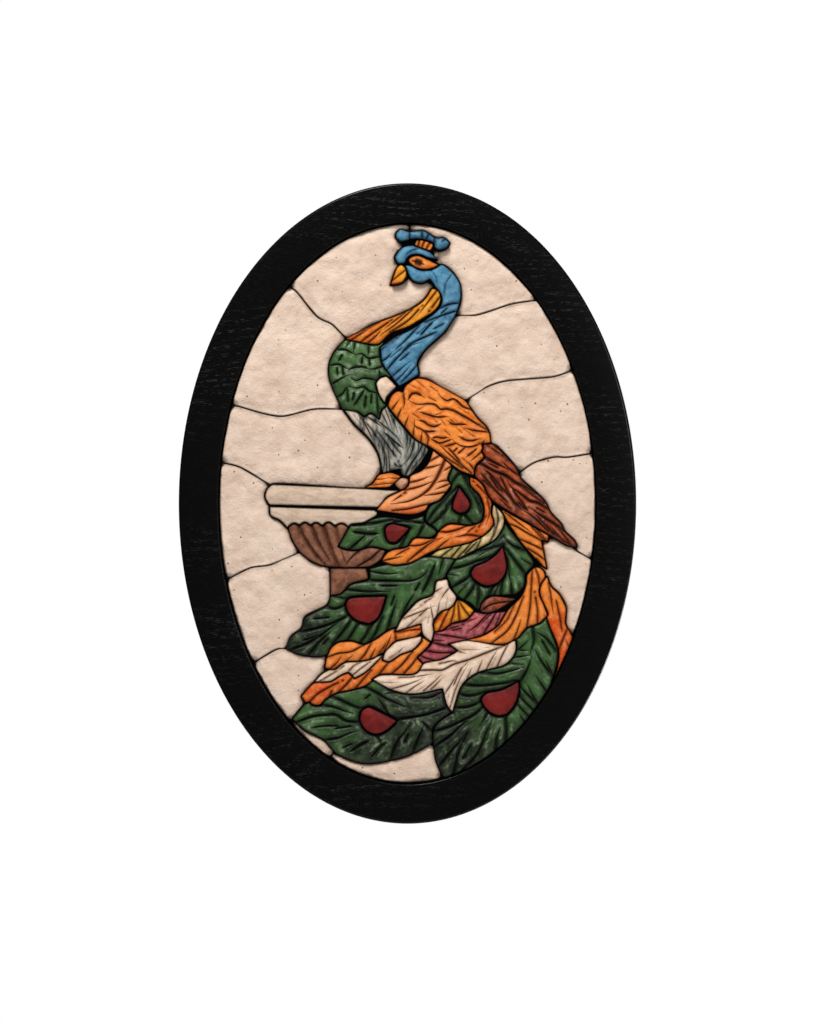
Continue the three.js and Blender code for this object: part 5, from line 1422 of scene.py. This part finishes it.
@dataclass
class Bowl:
    """The fountain bowl that the bird stands on: two rims, a fluted shell and a foot."""

    def stones(self) -> list[Stone]:
        """The stones of the bowl."""
        return [
            Stone("rim_upper", Slot.RIM, seed=61, **HONED),
            Stone("rim_lower", Slot.RIM, seed=62, **HONED),
            Stone("bowl_shell", Slot.SHELL, [
                *cuts([[-119, -25], [-114, -36], [-103, -53], [-95, -62]],
                      [[-105, -25], [-98, -42], [-84, -64]], [[-92, -25], [-85, -46], [-77, -66]],
                      [[-79, -25], [-75, -42], [-69, -61]], width=5.0, depth=2.6, ink=0.55),
                *cuts([[-66, -65], [-60, -58], [-53, -52]], [[-50, -66], [-40, -60], [-32, -53]], **PLAIN)],
                lobe=1.8, seed=63),
            Stone("pedestal", Slot.SHELL, seed=64, chisel=0.3),
        ]


# ---------------------------------------------------------------- studio

@dataclass(frozen=True)
class Lamp:
    """A soft square light that shines at the panel: its place and size in metres, its power in watts."""

    name: str
    place: tuple[float, float, float]
    size: float
    power: float


@dataclass
class Studio:
    """The pale floor, soft lights and the camera at the photograph's angle, in metres."""

    lamps: tuple[Lamp, ...] = (
        Lamp("key", (-0.5, -1.5, 2.4), 0.8, 92.0),
        Lamp("fill", (1.5, -2.6, 0.5), 0.6, 22.0),
        Lamp("rim", (1.5, 0.35, -0.7), 0.5, 45.0))

    floor_drop: float = 1.1
    floor_size: float = 2.6
    ambient: float = 0.2
    warmth: tuple = (1.0, 0.965, 0.925)
    distance: float = 3.0
    front: float = 0.022
    sensor: float = 36.0
    view_height: float = 1.118
    aim: tuple = (0.0022, -0.0093)

    def build(self) -> None:
        """Sets the floor, the lights, the world and the camera."""
        bpy.ops.object.select_all(action="DESELECT")
        bpy.ops.mesh.primitive_plane_add(size=self.floor_size, location=(0, 0, -self.floor_drop))
        floor = bpy.context.object
        floor.name = "studio_floor"
        mat = bpy.data.materials.new("studio_white")
        mat.use_nodes = True
        shader = mat.node_tree.nodes["Principled BSDF"]
        shader.inputs["Base Color"].default_value = linear("#f4f4f4")
        shader.inputs["Roughness"].default_value = 0.9
        floor.data.materials.append(mat)
        for lamp in self.lamps:
            light = bpy.data.lights.new(lamp.name, "AREA")
            light.size, light.energy, light.color = lamp.size, lamp.power, self.warmth
            obj = bpy.data.objects.new(lamp.name, light)
            obj.location = lamp.place
            obj.rotation_euler = (-Vector(lamp.place)).to_track_quat("-Z", "Y").to_euler()
            bpy.context.scene.collection.objects.link(obj)
        world = bpy.data.worlds.new("studio_world")
        bpy.context.scene.world = world
        world.use_nodes = True
        tree = world.node_tree
        seen = add_node(tree, "ShaderNodeLightPath").outputs["Is Camera Ray"]
        level = add_node(tree, "ShaderNodeMapRange", {"Value": seen, "To Min": self.ambient, "To Max": 1.0})
        tree.links.new(level.outputs[0], tree.nodes["Background"].inputs["Strength"])
        tree.nodes["Background"].inputs["Color"].default_value = (1, 1, 1, 1)
        bpy.context.scene.view_settings.view_transform = "Standard"
        cam = bpy.data.cameras.new("camera")
        cam.sensor_width = self.sensor
        cam.lens = self.sensor * self.distance / self.view_height
        eye = bpy.data.objects.new("camera", cam)
        eye.location = (self.aim[0], -self.distance - self.front, self.aim[1])
        eye.rotation_euler = (math.pi / 2, 0, 0)
        bpy.context.scene.collection.objects.link(eye)
        bpy.context.scene.camera = eye


def main() -> None:
    """Builds the panel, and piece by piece."""
    logging.basicConfig(level=logging.INFO, format="%(message)s")
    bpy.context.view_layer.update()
    Surround().build()
    for group in (Ground(), Bird(), Tail(), Bowl()):
        for stone in group.stones():
            stone.build()
    Studio().build()


if __name__ == "__main__":
    main()
